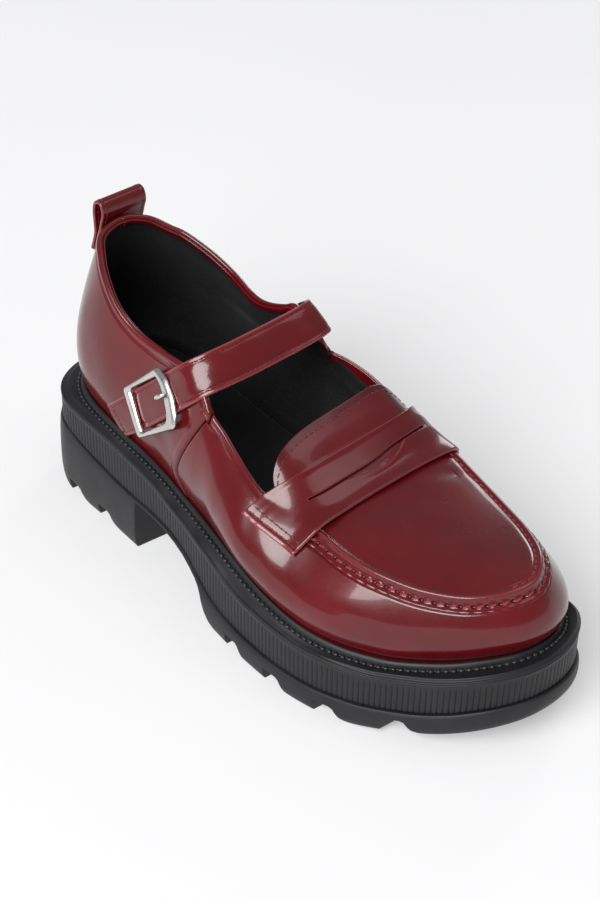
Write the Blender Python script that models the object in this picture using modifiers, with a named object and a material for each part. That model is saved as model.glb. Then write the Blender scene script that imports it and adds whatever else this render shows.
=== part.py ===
"""A women's platform penny loafer with an instep strap, right foot, standing empty on its sole.

Sizes are in millimetres. +X points to the toe, +Y to the inner (medial) side, +Z up, and the
origin is on the floor under the middle of the shoe.
"""

from math import cos, pi, radians, sin, tau

import bmesh
import bpy
import numpy as np

MM = 0.001
GAP = 0.3  # left between neighbouring pieces

# ---------------------------------------------------------------- the last and the sole
STATIONS = 44  # steps from the heel to the toe along each side of every loop

# x, outer side y, inner side y of the ribbed edge, the widest line of the sole
EDGE = (
    (-131.6, 7.0, 7.0),
    (-130.9, -4.3, 15.8),
    (-127.9, -17.6, 23.3),
    (-121.9, -27.7, 29.0),
    (-112.4, -34.1, 34.0),
    (-99.9, -36.2, 36.8),
    (-81.9, -37.1, 37.4),
    (-61.9, -38.6, 36.4),
    (-41.9, -40.3, 35.9),
    (-23.9, -43.3, 37.1),
    (-6.9, -46.9, 40.2),
    (10.1, -49.6, 44.8),
    (28.1, -51.4, 49.3),
    (46.1, -51.8, 51.7),
    (63.1, -49.6, 51.5),
    (78.1, -44.8, 48.9),
    (91.1, -39.0, 46.0),
    (102.1, -33.4, 43.5),
    (111.1, -27.8, 40.8),
    (118.1, -21.7, 37.0),
    (124.1, -14.5, 30.7),
    (128.6, -6.6, 22.8),
    (130.9, 0.5, 15.2),
    (131.6, 7.9, 7.9),
)

# x, outer side y, inner side y of the feather line, where the upper meets the welt
FEATHER = (
    (-124.5, 5.0, 5.0),
    (-122.5, -5.5, 14.0),
    (-116.4, -17.5, 22.5),
    (-105.9, -25.5, 27.0),
    (-91.9, -29.3, 29.0),
    (-71.9, -31.6, 29.4),
    (-51.9, -32.9, 28.6),
    (-31.9, -35.7, 29.4),
    (-11.9, -39.1, 33.0),
    (8.1, -42.7, 38.4),
    (28.1, -45.3, 43.4),
    (48.1, -45.1, 46.2),
    (66.1, -41.3, 45.6),
    (82.1, -33.9, 42.6),
    (96.1, -24.9, 38.6),
    (107.1, -15.8, 34.4),
    (115.1, -6.6, 28.0),
    (119.9, 1.5, 20.8),
    (121.8, 11.0, 11.0),
)

# x, height of the top of the ribbed edge, height of its foot
SOLE_HEIGHTS = (
    (-131.4, 45.0, 34.5),
    (-109.0, 44.5, 32.3),
    (-96.0, 43.8, 29.5),
    (-81.0, 42.8, 26.8),
    (-66.0, 41.8, 25.1),
    (-54.0, 40.7, 24.9),
    (-41.0, 39.3, 24.9),
    (-30.0, 37.9, 24.7),
    (-23.0, 37.2, 24.0),
    (-16.0, 36.5, 22.6),
    (-7.2, 35.5, 19.2),
    (2.5, 34.1, 14.6),
    (7.6, 33.1, 12.9),
    (14.7, 31.8, 11.6),
    (24.7, 30.0, 10.8),
    (37.7, 27.8, 10.4),
    (57.4, 25.5, 10.4),
    (81.8, 24.9, 11.0),
    (101.0, 27.6, 14.0),
    (112.0, 30.4, 17.2),
    (121.4, 33.0, 20.6),
    (132.5, 36.8, 24.4),
)

LUG_SKEW = radians(5.4)  # the grooves run forward toward the inner side
# distance ahead of each lug's square front end, height above the floor
GROOVE = ((0.0, 0.0), (0.0, 6.0), (6.8, 6.0), (8.4, 5.2), (9.6, 3.4), (10.9, 1.6), (12.9, 0.4), (15.0, 0.0))
HEEL_LUG_ENDS = (-120.5, -103.5, -81.4)
BREAST = -53.0
FOREPART_LUG_ENDS = (18.4, 43.2, 68.2, 93.4)
# distance along the sole, height: the rounded back edge of the heel
HEEL_BACK = (
    (-142.0, 16.0),
    (-136.0, 12.0),
    (-134.0, 7.4),
    (-131.0, 3.6),
    (-127.5, 1.1),
    (-124.0, 0.0),
)
# the arch, from the breast of the heel to the first lug of the forepart
ARCH = (
    (BREAST, 23.8),
    (-41.0, 23.8),
    (-30.0, 23.6),
    (-23.0, 22.9),
    (-16.0, 21.5),
    (-10.0, 19.3),
    (-5.5, 17.2),
    (-3.0, 15.3),
    (-1.2, 13.0),
    (0.3, 9.5),
    (2.5, 6.0),
    (6.0, 2.6),
    (11.0, 0.6),
    (14.0, 0.0),
)
SPRING_FROM = 72.0  # where the toe begins to lift
SPRING_TO = (135.0, 16.5)  # how high it has lifted there

# ---------------------------------------------------------------- the upper
WALL = 1.8
WELT_SEAT = 6.0  # how far the upper stands down inside the welt, above the ribbed edge

# x, y, z along the top edge of the outer side: collar, quarter, throat, then the apron ridge
TOP_OUTER = (
    (-115.4, 2.8, 119.0),
    (-112.4, -10.2, 117.4),
    (-103.3, -17.6, 112.6),
    (-93.7, -22.1, 106.9),
    (-83.6, -24.6, 100.8),
    (-72.4, -24.8, 95.7),
    (-59.8, -24.2, 93.3),
    (-47.3, -25.6, 94.6),
    (-37.9, -26.2, 95.5),
    (-29.9, -27.2, 94.0),
    (-23.9, -28.6, 89.5),
    (-19.4, -29.5, 85.0),
    (-10.9, -29.8, 80.8),
    (-1.9, -31.2, 76.5),
    (8.1, -33.2, 72.8),
    (18.1, -34, 69.5),
    (31.1, -32.2, 66.5),
    (43.7, -30.5, 64.9),
    (54.8, -30.9, 63.8),
    (66.0, -30.4, 63.2),
    (77.7, -27.9, 62.9),
    (89.5, -23.9, 62.7),
    (101.6, -17.1, 63.2),
    (109.6, -9.8, 64.2),
    (115.1, -1.2, 65.5),
    (117.0, 6.8, 66.3),
)
TOP_INNER = (
    (-115.4, 2.8, 119.0),
    (-111.4, 14.2, 117.0),
    (-104.0, 21.1, 112.8),
    (-98.1, 25.1, 110.1),
    (-86.3, 29.4, 104.4),
    (-74.6, 30.9, 99.6),
    (-62.9, 29.8, 96.3),
    (-56.3, 29.4, 95.7),
    (-49.6, 29.4, 97.0),
    (-42.5, 29.7, 99.7),
    (-36.0, 29.8, 102.8),
    (-29.0, 30.6, 99.2),
    (-23.8, 32.2, 93.6),
    (-21.0, 35.6, 86.2),
    (-12.9, 39, 83.6),
    (-4.3, 41, 81.2),
    (4.1, 41.8, 78.4),
    (18.1, 42.2, 73.6),
    (31.1, 42.2, 70.0),
    (44.3, 42, 67.3),
    (56.7, 40, 65.6),
    (69.2, 37.4, 64.6),
    (81.6, 34, 64.5),
    (93.5, 29.9, 65.2),
    (104.9, 24.1, 66.2),
    (111.6, 18.2, 66.7),
    (115.6, 12.2, 66.5),
    (117.0, 6.8, 66.3),
)

# x, swell past a straight side: outer, inner; how squarely the shoulder turns in: outer, inner
SWELL = (
    (-126.0, 6.5, 7.5, 0.0, 0.0),
    (-100.0, 5.4, 6.5, 0.0, 0.0),
    (-60.0, 3.0, 3.0, 0.0, 0.0),
    (-20.0, 3.2, 2.5, 0.3, 0.0),
    (0.0, 4.6, 3.2, 0.8, 0.1),
    (17.0, 5.8, 4.2, 0.9, 0.2),
    (32.0, 5.4, 4.4, 0.6, 0.2),
    (45.0, 5.0, 4.6, 0.4, 0.2),
    (70.0, 5.2, 5.2, 0.35, 0.2),
    (100.0, 5.5, 5.5, 0.2, 0.2),
    (125.0, 5.5, 5.5, 0.1, 0.1),
)
LEVELS = 7  # rows of the wall between the welt and the top edge
APRON_BACK = 18.0  # x where the apron leaves the throat edges and becomes the tongue
APRON_ACROSS = 12
# x, height of the middle of the tongue and the apron, how square its shoulders are
RIDGE = (
    (9.0, 88.0, 6.0),
    (14.0, 85.2, 6.0),
    (19.0, 82.2, 5.0),
    (26.0, 77.7, 4.5),
    (33.0, 73.5, 4.0),
    (40.0, 69.8, 3.5),
    (46.0, 67.9, 3.0),
    (58.0, 66.9, 2.5),
    (75.0, 66.0, 2.2),
    (100.0, 65.9, 2.0),
    (117.0, 66.3, 2.0),
)
# x, outer side y, inner side y, height of the edges: the tongue behind the apron
TONGUE = ((14.8, -30.8, 39.0, 76.6), (12.4, -27.4, 36.2, 82.0), (10.4, -18.5, 31.0, 86.6))

INSOLE_THICKNESS = 3.2

# ---------------------------------------------------------------- straps, buckle and pull loop
SADDLE_THICKNESS = 1.5
# side, x and height of the low end at its back, the same at its front, x over the ridge back and front
SADDLE_ENDS = (
    ("outer", 15.6, 63.4, 41.0, 56.8, 17.9, 44.0),
    ("inner", 16.8, 66.2, 40.2, 57.4, 18.1, 44.5),
)
# share from the back edge to the front edge, how far the row bows forward over the middle of the apron
SADDLE_ROWS = (
    (0.0, 6.4),
    (0.2, 4.6),
    (0.4, 2.8),
    (0.56, 1.3),
    (0.63, 1.2),
    (0.82, 1.5),
    (1.0, 1.8),
)
SLOT_ROW = 3  # the gap after this row is the slot
SLOT_HALF = 5  # columns of the slot either side of the middle
# column past the middle, share: the half-moon that the front strip leaves at the slot
NOTCH = ((0, 0.07), (1, 0.12), (2, 0.07))

STRAP_THICKNESS = 2.0
# back edge x, y, z and front edge x, y, z, from the seam on the inner side to the tail
STRAP = (
    (-34.6, 29.8, 104.2, -23.0, 31.6, 95.6),
    (-29.0, 29.6, 108.6, -17.4, 31.6, 99.0),
    (-24.6, 28.0, 111.9, -13.2, 30.4, 101.2),
    (-24.4, 24.0, 111.9, -13.0, 26.6, 101.2),
    (-25.9, 12.7, 109.5, -14.2, 13.6, 99.0),
    (-28.9, -1.9, 106.6, -17.4, -1.5, 95.6),
    (-31.2, -14.5, 104.2, -19.8, -14.2, 92.9),
    (-34.4, -24.6, 101.9, -22.8, -28.4, 91.6),
    (-39.4, -29.0, 97.6, -28.0, -32.4, 86.4),
    (-47.6, -27.0, 89.6, -36.4, -29.0, 78.2),
    (-57.8, -27.0, 79.9, -46.6, -29.0, 68.5),
    (-68.6, -27.0, 69.7, -57.4, -29.0, 58.3),
    (-79.8, -27.0, 59.3, -68.8, -29.0, 48.9),
)
STRAP_ACROSS = 4
STRAP_STEPS = 3  # smooth steps between two rows of the table

# outer outline x, z, then the window's x, z: tail side back, instep side, tail side front
BUCKLE = (
    (-68.7, 73.7, -64.9, 74.9),
    (-52.5, 90.3, -51.0, 87.2),
    (-44.8, 89.0, -46.3, 84.6),
    (-37.8, 84.4, -42.4, 80.9),
    (-33.6, 79.2, -39.6, 77.3),
    (-32.3, 74.6, -38.4, 73.9),
    (-55.5, 57.1, -53.1, 61.0),
)
BUCKLE_HEIGHT = 1.9
BUCKLE_CORNER = 1.6
PRONG_HOLE = (-46.9, 80.6)  # x, z
# distance from the hole along the strap, height over the strap's outer face, radius
PRONG = (
    (-0.1, -1.2, 0.75),
    (0.0, 0.2, 0.8),
    (0.5, 1.8, 0.85),
    (1.9, 3.3, 0.95),
    (3.6, 3.9, 1.05),
    (5.6, 3.95, 1.0),
    (7.0, 3.5, 0.75),
)

ROD_SIDES = 10
LOOP_THICKNESS = 1.6
LOOP_SIDES = (-6.2, 16.8)  # y
# x, z of the folded strip's middle line, up the outer leg, over the fold and down the inner leg
PULL_LOOP = (
    (-124.5, 103.2),
    (-123.0, 107.5),
    (-121.8, 112.0),
    (-121.9, 117.0),
    (-122.1, 122.0),
    (-121.3, 125.6),
    (-119.2, 127.2),
    (-117.0, 126.2),
    (-116.1, 123.0),
    (-117.3, 118.0),
    (-119.2, 112.5),
    (-120.9, 107.5),
    (-122.4, 103.4),
)


def hermite(rows, x):
    """The columns of a table at x, by a smooth curve through its rows that doesn't overshoot."""
    table = np.array(rows, float)
    keys = table[:, 0]
    values = table[:, 1:]
    x = min(max(x, keys[0]), keys[-1])
    at = int(min(max(np.searchsorted(keys, x) - 1, 0), len(keys) - 2))
    steps = np.diff(keys)
    rises = np.diff(values, axis=0) / steps[:, None]
    slopes = np.empty_like(values)
    slopes[0] = rises[0]
    slopes[-1] = rises[-1]
    before = rises[:-1]
    after = rises[1:]
    same = before * after > 0
    total = np.where(same, before + after, 1.0)
    slopes[1:-1] = np.where(same, 2 * before * after / total, 0.0)
    step = steps[at]
    t = (x - keys[at]) / step
    return (
        (1 + 2 * t) * (1 - t) ** 2 * values[at]
        + t * (1 - t) ** 2 * step * slopes[at]
        + t * t * (3 - 2 * t) * values[at + 1]
        + t * t * (t - 1) * step * slopes[at + 1]
    )


def halves(outer, inner):
    """Two dense curves from heel to toe, cut from one closed smooth curve through both rows."""
    ring = np.array(list(outer) + list(inner)[-2:0:-1], float)
    fine = []
    for at in range(len(ring)):
        a, b, c, d = (ring[(at + k) % len(ring)] for k in (-1, 0, 1, 2))
        for t in np.linspace(0, 1, 12, endpoint=False):
            bend = 2 * a - 5 * b + 4 * c - d
            fine.append(0.5 * (2 * b + (c - a) * t + bend * t**2 + (3 * b - a - 3 * c + d) * t**3))
    fine = np.array(fine + fine[:1])
    toe = 12 * (len(outer) - 1)
    return fine[: toe + 1], fine[toe:][::-1]


def along(curve, share):
    """The point a share of the way along a dense curve, by its length."""
    lengths = np.r_[0, np.cumsum(np.linalg.norm(np.diff(curve, axis=0), axis=1))]
    return np.array([np.interp(share * lengths[-1], lengths, column) for column in curve.T])


def share_at(curve, x):
    """How far along a dense curve its x is reached, as a share of its length."""
    lengths = np.r_[0, np.cumsum(np.linalg.norm(np.diff(curve, axis=0), axis=1))]
    return float(np.interp(x, curve[:, 0], lengths)) / lengths[-1]


def plan(table):
    outer = [(x, y, 0.0) for x, y, _ in table]
    inner = [(x, y, 0.0) for x, _, y in table]
    return halves(outer, inner)


def shares():
    """Station places from heel to toe: even, and a little closer together at the two ends."""
    even = np.linspace(0, 1, STATIONS + 1)
    return 0.4 * (1 - np.cos(pi * even)) / 2 + 0.6 * even


def ring_of(pair):
    """A closed loop of points: heel to toe along the outer side, and back along the inner one."""
    outer, inner = pair
    forward = [along(outer, share) for share in shares()]
    back = [along(inner, share) for share in shares()[-2:0:-1]]
    return np.array(forward + back)


def outward(ring):
    """Unit vectors across the loop in plan, pointing out of the shoe."""
    tangent = np.roll(ring, -1, axis=0) - np.roll(ring, 1, axis=0)
    normal = np.stack([-tangent[:, 1], tangent[:, 0], np.zeros(len(ring))], axis=1)
    normal /= np.linalg.norm(normal, axis=1)[:, None]
    middle = ring.mean(axis=0)
    return normal if ((ring - middle) * normal).sum() > 0 else -normal


def grown(ring, amount):
    return ring + amount * outward(ring)


def at_height(ring, column, rise):
    """The loop lifted to one of the sole's heights plus a rise."""
    lifted = ring.copy()
    along = ring[:, 0]
    if column == FOOT_OF_EDGE:  # its line over the arch runs on the skew, with the grooves
        along = cos(LUG_SKEW) * ring[:, 0] - sin(LUG_SKEW) * ring[:, 1]
    lifted[:, 2] = [hermite(SOLE_HEIGHTS, x)[column] + rise for x in along]
    return lifted


TOP_OF_EDGE, FOOT_OF_EDGE = 0, 1


def make(name, points, faces, material, smooth=40.0):
    mesh = bpy.data.meshes.new(name)
    mesh.from_pydata([tuple(MM * c for c in point) for point in points], [], faces)
    shape = bmesh.new()
    shape.from_mesh(mesh)
    bmesh.ops.recalc_face_normals(shape, faces=shape.faces)
    shape.to_mesh(mesh)
    shape.free()
    mesh.materials.append(material)
    mesh.shade_smooth()
    mesh.set_sharp_from_angle(angle=radians(smooth))
    made = bpy.data.objects.new(name, mesh)
    PARTS.objects.link(made)
    return made


def caps(first, count):
    """Faces across a loop, joining each outer point to the inner one at the same station."""
    half = count // 2
    faces = [(first, first + 1, first + count - 1)]
    for at in range(1, half - 1):
        faces.append((first + at, first + at + 1, first + count - at - 1, first + count - at))
    faces.append((first + half - 1, first + half, first + half + 1))
    return faces


def skin(rings, closed):
    """Faces between loops of equal length; a closed skin also joins the last to the first."""
    count = len(rings[0])
    faces = []
    for level in range(len(rings) if closed else len(rings) - 1):
        low = level * count
        high = (level + 1) % len(rings) * count
        for at in range(count):
            after = (at + 1) % count
            faces.append((low + at, low + after, high + after, high + at))
    return faces


def slab(name, rings, material):
    faces = skin(rings, False)
    count = len(rings[0])
    faces += [face[::-1] for face in caps(0, count)]
    faces += caps(count * (len(rings) - 1), count)
    return make(name, np.vstack(rings), faces, material)


def frame_ring(name, rings, material):
    return make(name, np.vstack(rings), skin(rings, True), material)


def material(name, colour, roughness, metallic=0.0, coat=0.0):
    made = bpy.data.materials.new(name)
    made.use_nodes = True
    shader = made.node_tree.nodes["Principled BSDF"]
    shader.inputs["Base Color"].default_value = (*colour, 1.0)
    shader.inputs["Roughness"].default_value = roughness
    shader.inputs["Metallic"].default_value = metallic
    shader.inputs["Coat Weight"].default_value = coat
    return made


def prism(name, profile, reach, turn):
    """A cutter: a closed outline in x and z, drawn out across the shoe and turned about Z."""
    points = [(x, side * reach, z) for side in (-1, 1) for x, z in profile]
    count = len(profile)
    faces = [tuple(range(count)), tuple(range(2 * count - 1, count - 1, -1))]
    for at in range(count):
        after = (at + 1) % count
        faces.append((at, count + at, count + after, after))
    mesh = bpy.data.meshes.new(name)
    mesh.from_pydata([tuple(MM * c for c in point) for point in points], [], faces)
    shape = bmesh.new()
    shape.from_mesh(mesh)
    bmesh.ops.recalc_face_normals(shape, faces=shape.faces)
    shape.to_mesh(mesh)
    shape.free()
    cutter = bpy.data.objects.new(name, mesh)
    cutter.rotation_euler.z = turn
    cutter.hide_render = True
    cutter.display_type = "WIRE"
    CUTTERS.objects.link(cutter)
    return cutter


def cut(body, cutter):
    modifier = body.modifiers.new(f"cut by {cutter.name}", "BOOLEAN")
    modifier.operation = "DIFFERENCE"
    modifier.solver = "EXACT"
    modifier.object = cutter


# ---------------------------------------------------------------- the sole's pieces
def spring(x):
    """How far the toe has lifted off the floor at x."""
    share = max(x - SPRING_FROM, 0.0) / (SPRING_TO[0] - SPRING_FROM)
    return SPRING_TO[1] * share**1.6


def ground_profile():
    """The underside of the sole as one side view: heel lugs, arch, forepart lugs, toe spring."""
    line = list(HEEL_BACK)
    for end in HEEL_LUG_ENDS:
        line += [(end + ahead, height) for ahead, height in GROOVE]
    line.append((BREAST, 0.0))
    line += ARCH
    for end in FOREPART_LUG_ENDS:
        line += [(end + ahead, height) for ahead, height in GROOVE]
    line += [(x, 0.0) for x in (110.0, 115.0, 120.0, 126.0, 132.0, 142.0)]
    line = [(x, height + spring(x)) for x, height in line]
    below = -8.0
    return line + [(line[-1][0], below), (line[0][0], below)]


def build_outsole(edge):
    rings = []
    for growth, share in ((-2.0, -0.15), (0.3, 0.0), (1.3, 0.14), (1.5, 0.4), (1.2, 0.75), (0.2, 1.0)):
        ring = at_height(grown(edge, growth), FOOT_OF_EDGE, 0.0)
        ring[:, 2] = [spring(x) + share * (z - spring(x)) for x, z in ring[:, [0, 2]]]
        rings.append(ring)
    outsole = slab("outsole", rings, BLACK_RUBBER)
    cut(outsole, prism("ground", ground_profile(), 90.0, -LUG_SKEW))


def build_midsole(edge):
    """The platform: a thin lip at its foot and at its top, and a flat band between them."""
    profile = (
        (-0.3, FOOT_OF_EDGE, GAP + 0.15),
        (0.2, FOOT_OF_EDGE, 0.8),
        (0.2, FOOT_OF_EDGE, 1.6),
        (-0.4, FOOT_OF_EDGE, 2.1),
        (-0.5, TOP_OF_EDGE, -2.6),
        (-0.1, TOP_OF_EDGE, -2.0),
        (0.0, TOP_OF_EDGE, -0.9),
        (-0.7, TOP_OF_EDGE, 0.0),
    )
    rings = [at_height(grown(edge, growth), column, rise) for growth, column, rise in profile]
    slab("midsole", rings, BLACK_RUBBER)


def build_welt(edge, feather):
    """The ledge round the upper: an undercut, a rounded rim, a channel and an inner ridge."""
    outer = ((-3.0, GAP), (-3.0, 1.2), (-1.4, 1.7), (-0.8, 2.8), (-1.3, 3.8), (-2.6, 4.2), (-3.8, 3.7))
    inner = ((3.2, 3.9), (2.4, 4.6), (1.6, 5.6), (0.7, 5.9), (GAP, 5.2), (GAP, GAP))
    rings = [at_height(grown(edge, growth), TOP_OF_EDGE, rise) for growth, rise in outer]
    rings += [at_height(grown(feather, growth), TOP_OF_EDGE, rise) for growth, rise in inner]
    frame_ring("welt", rings, BLACK_RUBBER)


def build_insole(feather):
    inside = -WALL - GAP - 0.2
    profile = ((inside, GAP), (inside, 2.2), (inside - 0.8, INSOLE_THICKNESS))
    rings = [at_height(grown(feather, growth), TOP_OF_EDGE, rise) for growth, rise in profile]
    slab("insole", rings, BLACK_LINING)


# ---------------------------------------------------------------- the upper
class Upper:
    """The outer face of the upper: two walls from the welt to the top edge, and the apron."""

    def __init__(self):
        self.feather = plan(FEATHER)
        self.top = halves(TOP_OUTER, TOP_INNER)

    def wall(self, side, share, level):
        """A point of a wall: level runs from 0 at the welt to 1 at the top edge."""
        foot = along(self.feather[side], share)
        foot[2] = hermite(SOLE_HEIGHTS, foot[0])[TOP_OF_EDGE] + WELT_SEAT
        head = along(self.top[side], share)
        step = 0.004
        before = along(self.feather[side], max(share - step, 0.0))
        after = along(self.feather[side], min(share + step, 1.0))
        run = after - before
        out = np.array([run[1], -run[0], 0.0]) * (1 if side == OUTER else -1)
        out /= np.linalg.norm(out)
        shape = hermite(SWELL, foot[0])
        lean = 0.45 * level + 0.55 * level * level * (3 - 2 * level)
        lean += shape[2 + side] * (level**4 - lean)
        swell = shape[side] * sin(pi * level**0.85)
        point = foot + (head - foot) * np.array([lean, lean, level])
        return point + swell * out

    def apron(self, x, across):
        """A point of the apron at x: across runs from -1 at the outer side to 1 at the inner."""
        edges = [along(self.top[side], share_at(self.top[side], x)) for side in (OUTER, INNER)]
        return self.bridged(edges[0], edges[1], across)

    def bridged(self, outer, inner, across):
        point = outer + (inner - outer) * (1 + across) / 2
        height, square = hermite(RIDGE, point[0])
        rise = height - (outer[2] + inner[2]) / 2
        point[2] += rise * (1 - abs(across) ** square)
        return point

    def at(self, side, x, z):
        """The point of the wall at x and z."""
        share = share_at(self.feather[side], x)
        for _ in range(6):
            foot = self.wall(side, share, 0.0)
            head = self.wall(side, share, 1.0)
            level = min(max((z - foot[2]) / (head[2] - foot[2]), 0.0), 1.0)
            point = self.wall(side, share, level)
            share = min(max(share + (x - point[0]) / 330.0, 0.0), 1.0)
        return point


OUTER, INNER = 0, 1


def build_upper(upper):
    places = shares()
    sides = [(OUTER, share) for share in places] + [(INNER, share) for share in places[-2:0:-1]]
    count = len(sides)
    seat = [upper.wall(side, share, 0.0) for side, share in sides]
    rings = [at_height(np.array(seat), TOP_OF_EDGE, GAP)]
    for row in range(LEVELS + 1):
        rings.append(np.array([upper.wall(side, share, row / LEVELS) for side, share in sides]))
    points = list(np.vstack(rings))
    faces = skin(rings, False)
    top = count * (len(rings) - 1)
    first = next(at for at in range(STATIONS) if points[top + at][0] >= APRON_BACK)

    rows = []
    for at in range(first, STATIONS):
        outer, inner = top + at, top + count - at
        row = [outer]
        for step in range(1, APRON_ACROSS):
            row.append(len(points))
            across = 2 * step / APRON_ACROSS - 1
            points.append(upper.bridged(points[outer], points[inner], across))
        rows.append(row + [inner])
    behind = []
    for x, outer_y, inner_y, height in TONGUE:
        row = []
        for step in range(APRON_ACROSS + 1):
            row.append(len(points))
            across = 2 * step / APRON_ACROSS - 1
            ends = (np.array([x, outer_y, height]), np.array([x, inner_y, height]))
            points.append(upper.bridged(*ends, across))
        behind.insert(0, row)
    rows = behind + rows
    for back, front in zip(rows, rows[1:]):
        for step in range(APRON_ACROSS):
            faces.append((back[step], front[step], front[step + 1], back[step + 1]))
    tip = top + STATIONS
    for step in range(APRON_ACROSS):
        faces.append((rows[-1][step], tip, rows[-1][step + 1]))

    made = make("upper", points, faces, OXBLOOD)
    solid = made.modifiers.new("wall", "SOLIDIFY")
    solid.thickness = WALL * MM
    solid.offset = -1.0
    solid.use_even_offset = True
    solid.use_quality_normals = True
    return made


# ---------------------------------------------------------------- straps, buckle and pull loop
def lifted(grid, amount, inside):
    """A grid of points moved off along its own normals, away from the point inside."""
    normal = np.cross(np.gradient(grid, axis=0), np.gradient(grid, axis=1))
    normal /= np.linalg.norm(normal, axis=2)[:, :, None]
    away = np.sign(((grid - inside) * normal).sum(axis=2))
    return grid + amount * away[:, :, None] * normal


def sheet(name, grid, thickness, material, opening=()):
    """A strip of leather: a grid of points thickened both ways, leaving out the cells of an opening."""
    across = grid.shape[1]
    faces = []
    for row in range(len(grid) - 1):
        for column in range(across - 1):
            if (row, column) not in opening:
                low = row * across + column
                faces.append((low, low + 1, low + across + 1, low + across))
    made = make(name, grid.reshape(-1, 3), faces, material)
    solid = made.modifiers.new("thickness", "SOLIDIFY")
    solid.thickness = thickness * MM
    solid.offset = 0.0
    solid.use_even_offset = True
    return made


def build_saddle(upper):
    """The penny strap: over the apron, down both walls, with a slot and its half-moon notch."""
    ends = {name: values for name, *values in SADDLE_ENDS}
    grid = []
    for share, bow in SADDLE_ROWS:
        sides = {}
        ridge = {}
        for side, name in ((OUTER, "outer"), (INNER, "inner")):
            x0, z0, x1, z1, over0, over1 = ends[name]
            ridge[side] = over0 + share * (over1 - over0)
            foot = np.array([x0 + share * (x1 - x0), z0 + share * (z1 - z0)])
            head = upper.apron(ridge[side], 2 * side - 1)[[0, 2]]
            places = [foot + step * (head - foot) for step in (0.0, 0.35, 0.7)]
            sides[side] = [upper.at(side, x, z) for x, z in places]
        middle = []
        for step in range(APRON_ACROSS + 1):
            across = 2 * step / APRON_ACROSS - 1
            x = ridge[OUTER] + (ridge[INNER] - ridge[OUTER]) * step / APRON_ACROSS
            middle.append(upper.apron(x + bow * (1 - abs(across) ** 5), across))
        grid.append(sides[OUTER] + middle + sides[INNER][::-1])
    grid = lifted(np.array(grid), GAP + 0.65 + SADDLE_THICKNESS / 2, np.array([40.0, 5.0, 30.0]))
    centre = grid.shape[1] // 2
    front = SLOT_ROW + 1
    for ahead, share in NOTCH:
        column = centre + ahead
        grid[front, column] += share * (grid[-1, column] - grid[0, column])
    slot = {(SLOT_ROW, column) for column in range(centre - SLOT_HALF, centre + SLOT_HALF)}
    sheet("saddle", grid, SADDLE_THICKNESS, OXBLOOD, slot)


def smooth_rows(rows, steps):
    """A table of points drawn as one smooth curve through its rows."""
    rows = np.array(rows, float)
    padded = np.vstack([2 * rows[0] - rows[1], rows, 2 * rows[-1] - rows[-2]])
    fine = []
    for a, b, c, d in zip(padded, padded[1:], padded[2:], padded[3:]):
        for t in np.linspace(0, 1, steps, endpoint=False):
            bend = 2 * a - 5 * b + 4 * c - d
            fine.append(0.5 * (2 * b + (c - a) * t + bend * t**2 + (3 * b - a - 3 * c + d) * t**3))
    return np.array(fine + [rows[-1]])


def build_instep_strap(upper):
    """From the seam on the inner side up and over the instep, and down outside the outer quarter."""
    lift = GAP + 0.25 + STRAP_THICKNESS / 2
    grid = []
    for row in smooth_rows(STRAP, STRAP_STEPS):
        points = [row[:3] + (row[3:] - row[:3]) * t for t in np.linspace(0, 1, STRAP_ACROSS + 1)]
        for point in points:
            wall = upper.at(OUTER, point[0], point[2])
            if point[1] < -20.0 and point[2] < wall[2] + 2.0:
                point[1] = min(point[1], wall[1] - lift)
        grid.append(points)
    strap = sheet("instep_strap", np.array(grid), STRAP_THICKNESS, OXBLOOD)
    x, z = PRONG_HOLE
    hole = rod("prong_hole", [(x, upper.at(OUTER, x, z)[1] - reach, z) for reach in (0.0, 6.0)], (1.6, 1.6))
    CUTTERS.objects.link(hole)
    PARTS.objects.unlink(hole)
    hole.hide_render = True
    hole.display_type = "WIRE"
    cut(strap, hole)


def rod(name, path, radii):
    """A round bar along a path, thick as its list of radii says, with flat ends."""
    path = np.array(path, float)
    run = np.gradient(path, axis=0)
    run /= np.linalg.norm(run, axis=1)[:, None]
    aside = np.cross(run, (0.3, 0.2, 1.0))
    aside /= np.linalg.norm(aside, axis=1)[:, None]
    up = np.cross(aside, run)
    turns = [tau * step / ROD_SIDES for step in range(ROD_SIDES)]
    rings = [
        [point + radius * (cos(turn) * a + sin(turn) * b) for turn in turns]
        for point, radius, a, b in zip(path, radii, aside, up)
    ]
    faces = skin(rings, False)
    faces.append(tuple(range(ROD_SIDES)))
    last = ROD_SIDES * (len(rings) - 1)
    faces.append(tuple(range(last + ROD_SIDES - 1, last - 1, -1)))
    return make(name, np.vstack(rings), faces, NICKEL)


def rounded(corners, radius):
    """A closed outline with each of its corners turned to a short arc."""
    corners = np.array(corners, float)
    outline = []
    for at, corner in enumerate(corners):
        back = corners[at - 1] - corner
        ahead = corners[(at + 1) % len(corners)] - corner
        start = corner + back * min(radius / np.linalg.norm(back), 0.45)
        end = corner + ahead * min(radius / np.linalg.norm(ahead), 0.45)
        for t in (0.0, 0.33, 0.67, 1.0):
            outline.append((1 - t) ** 2 * start + 2 * t * (1 - t) * corner + t * t * end)
    return np.array(outline)


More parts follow.
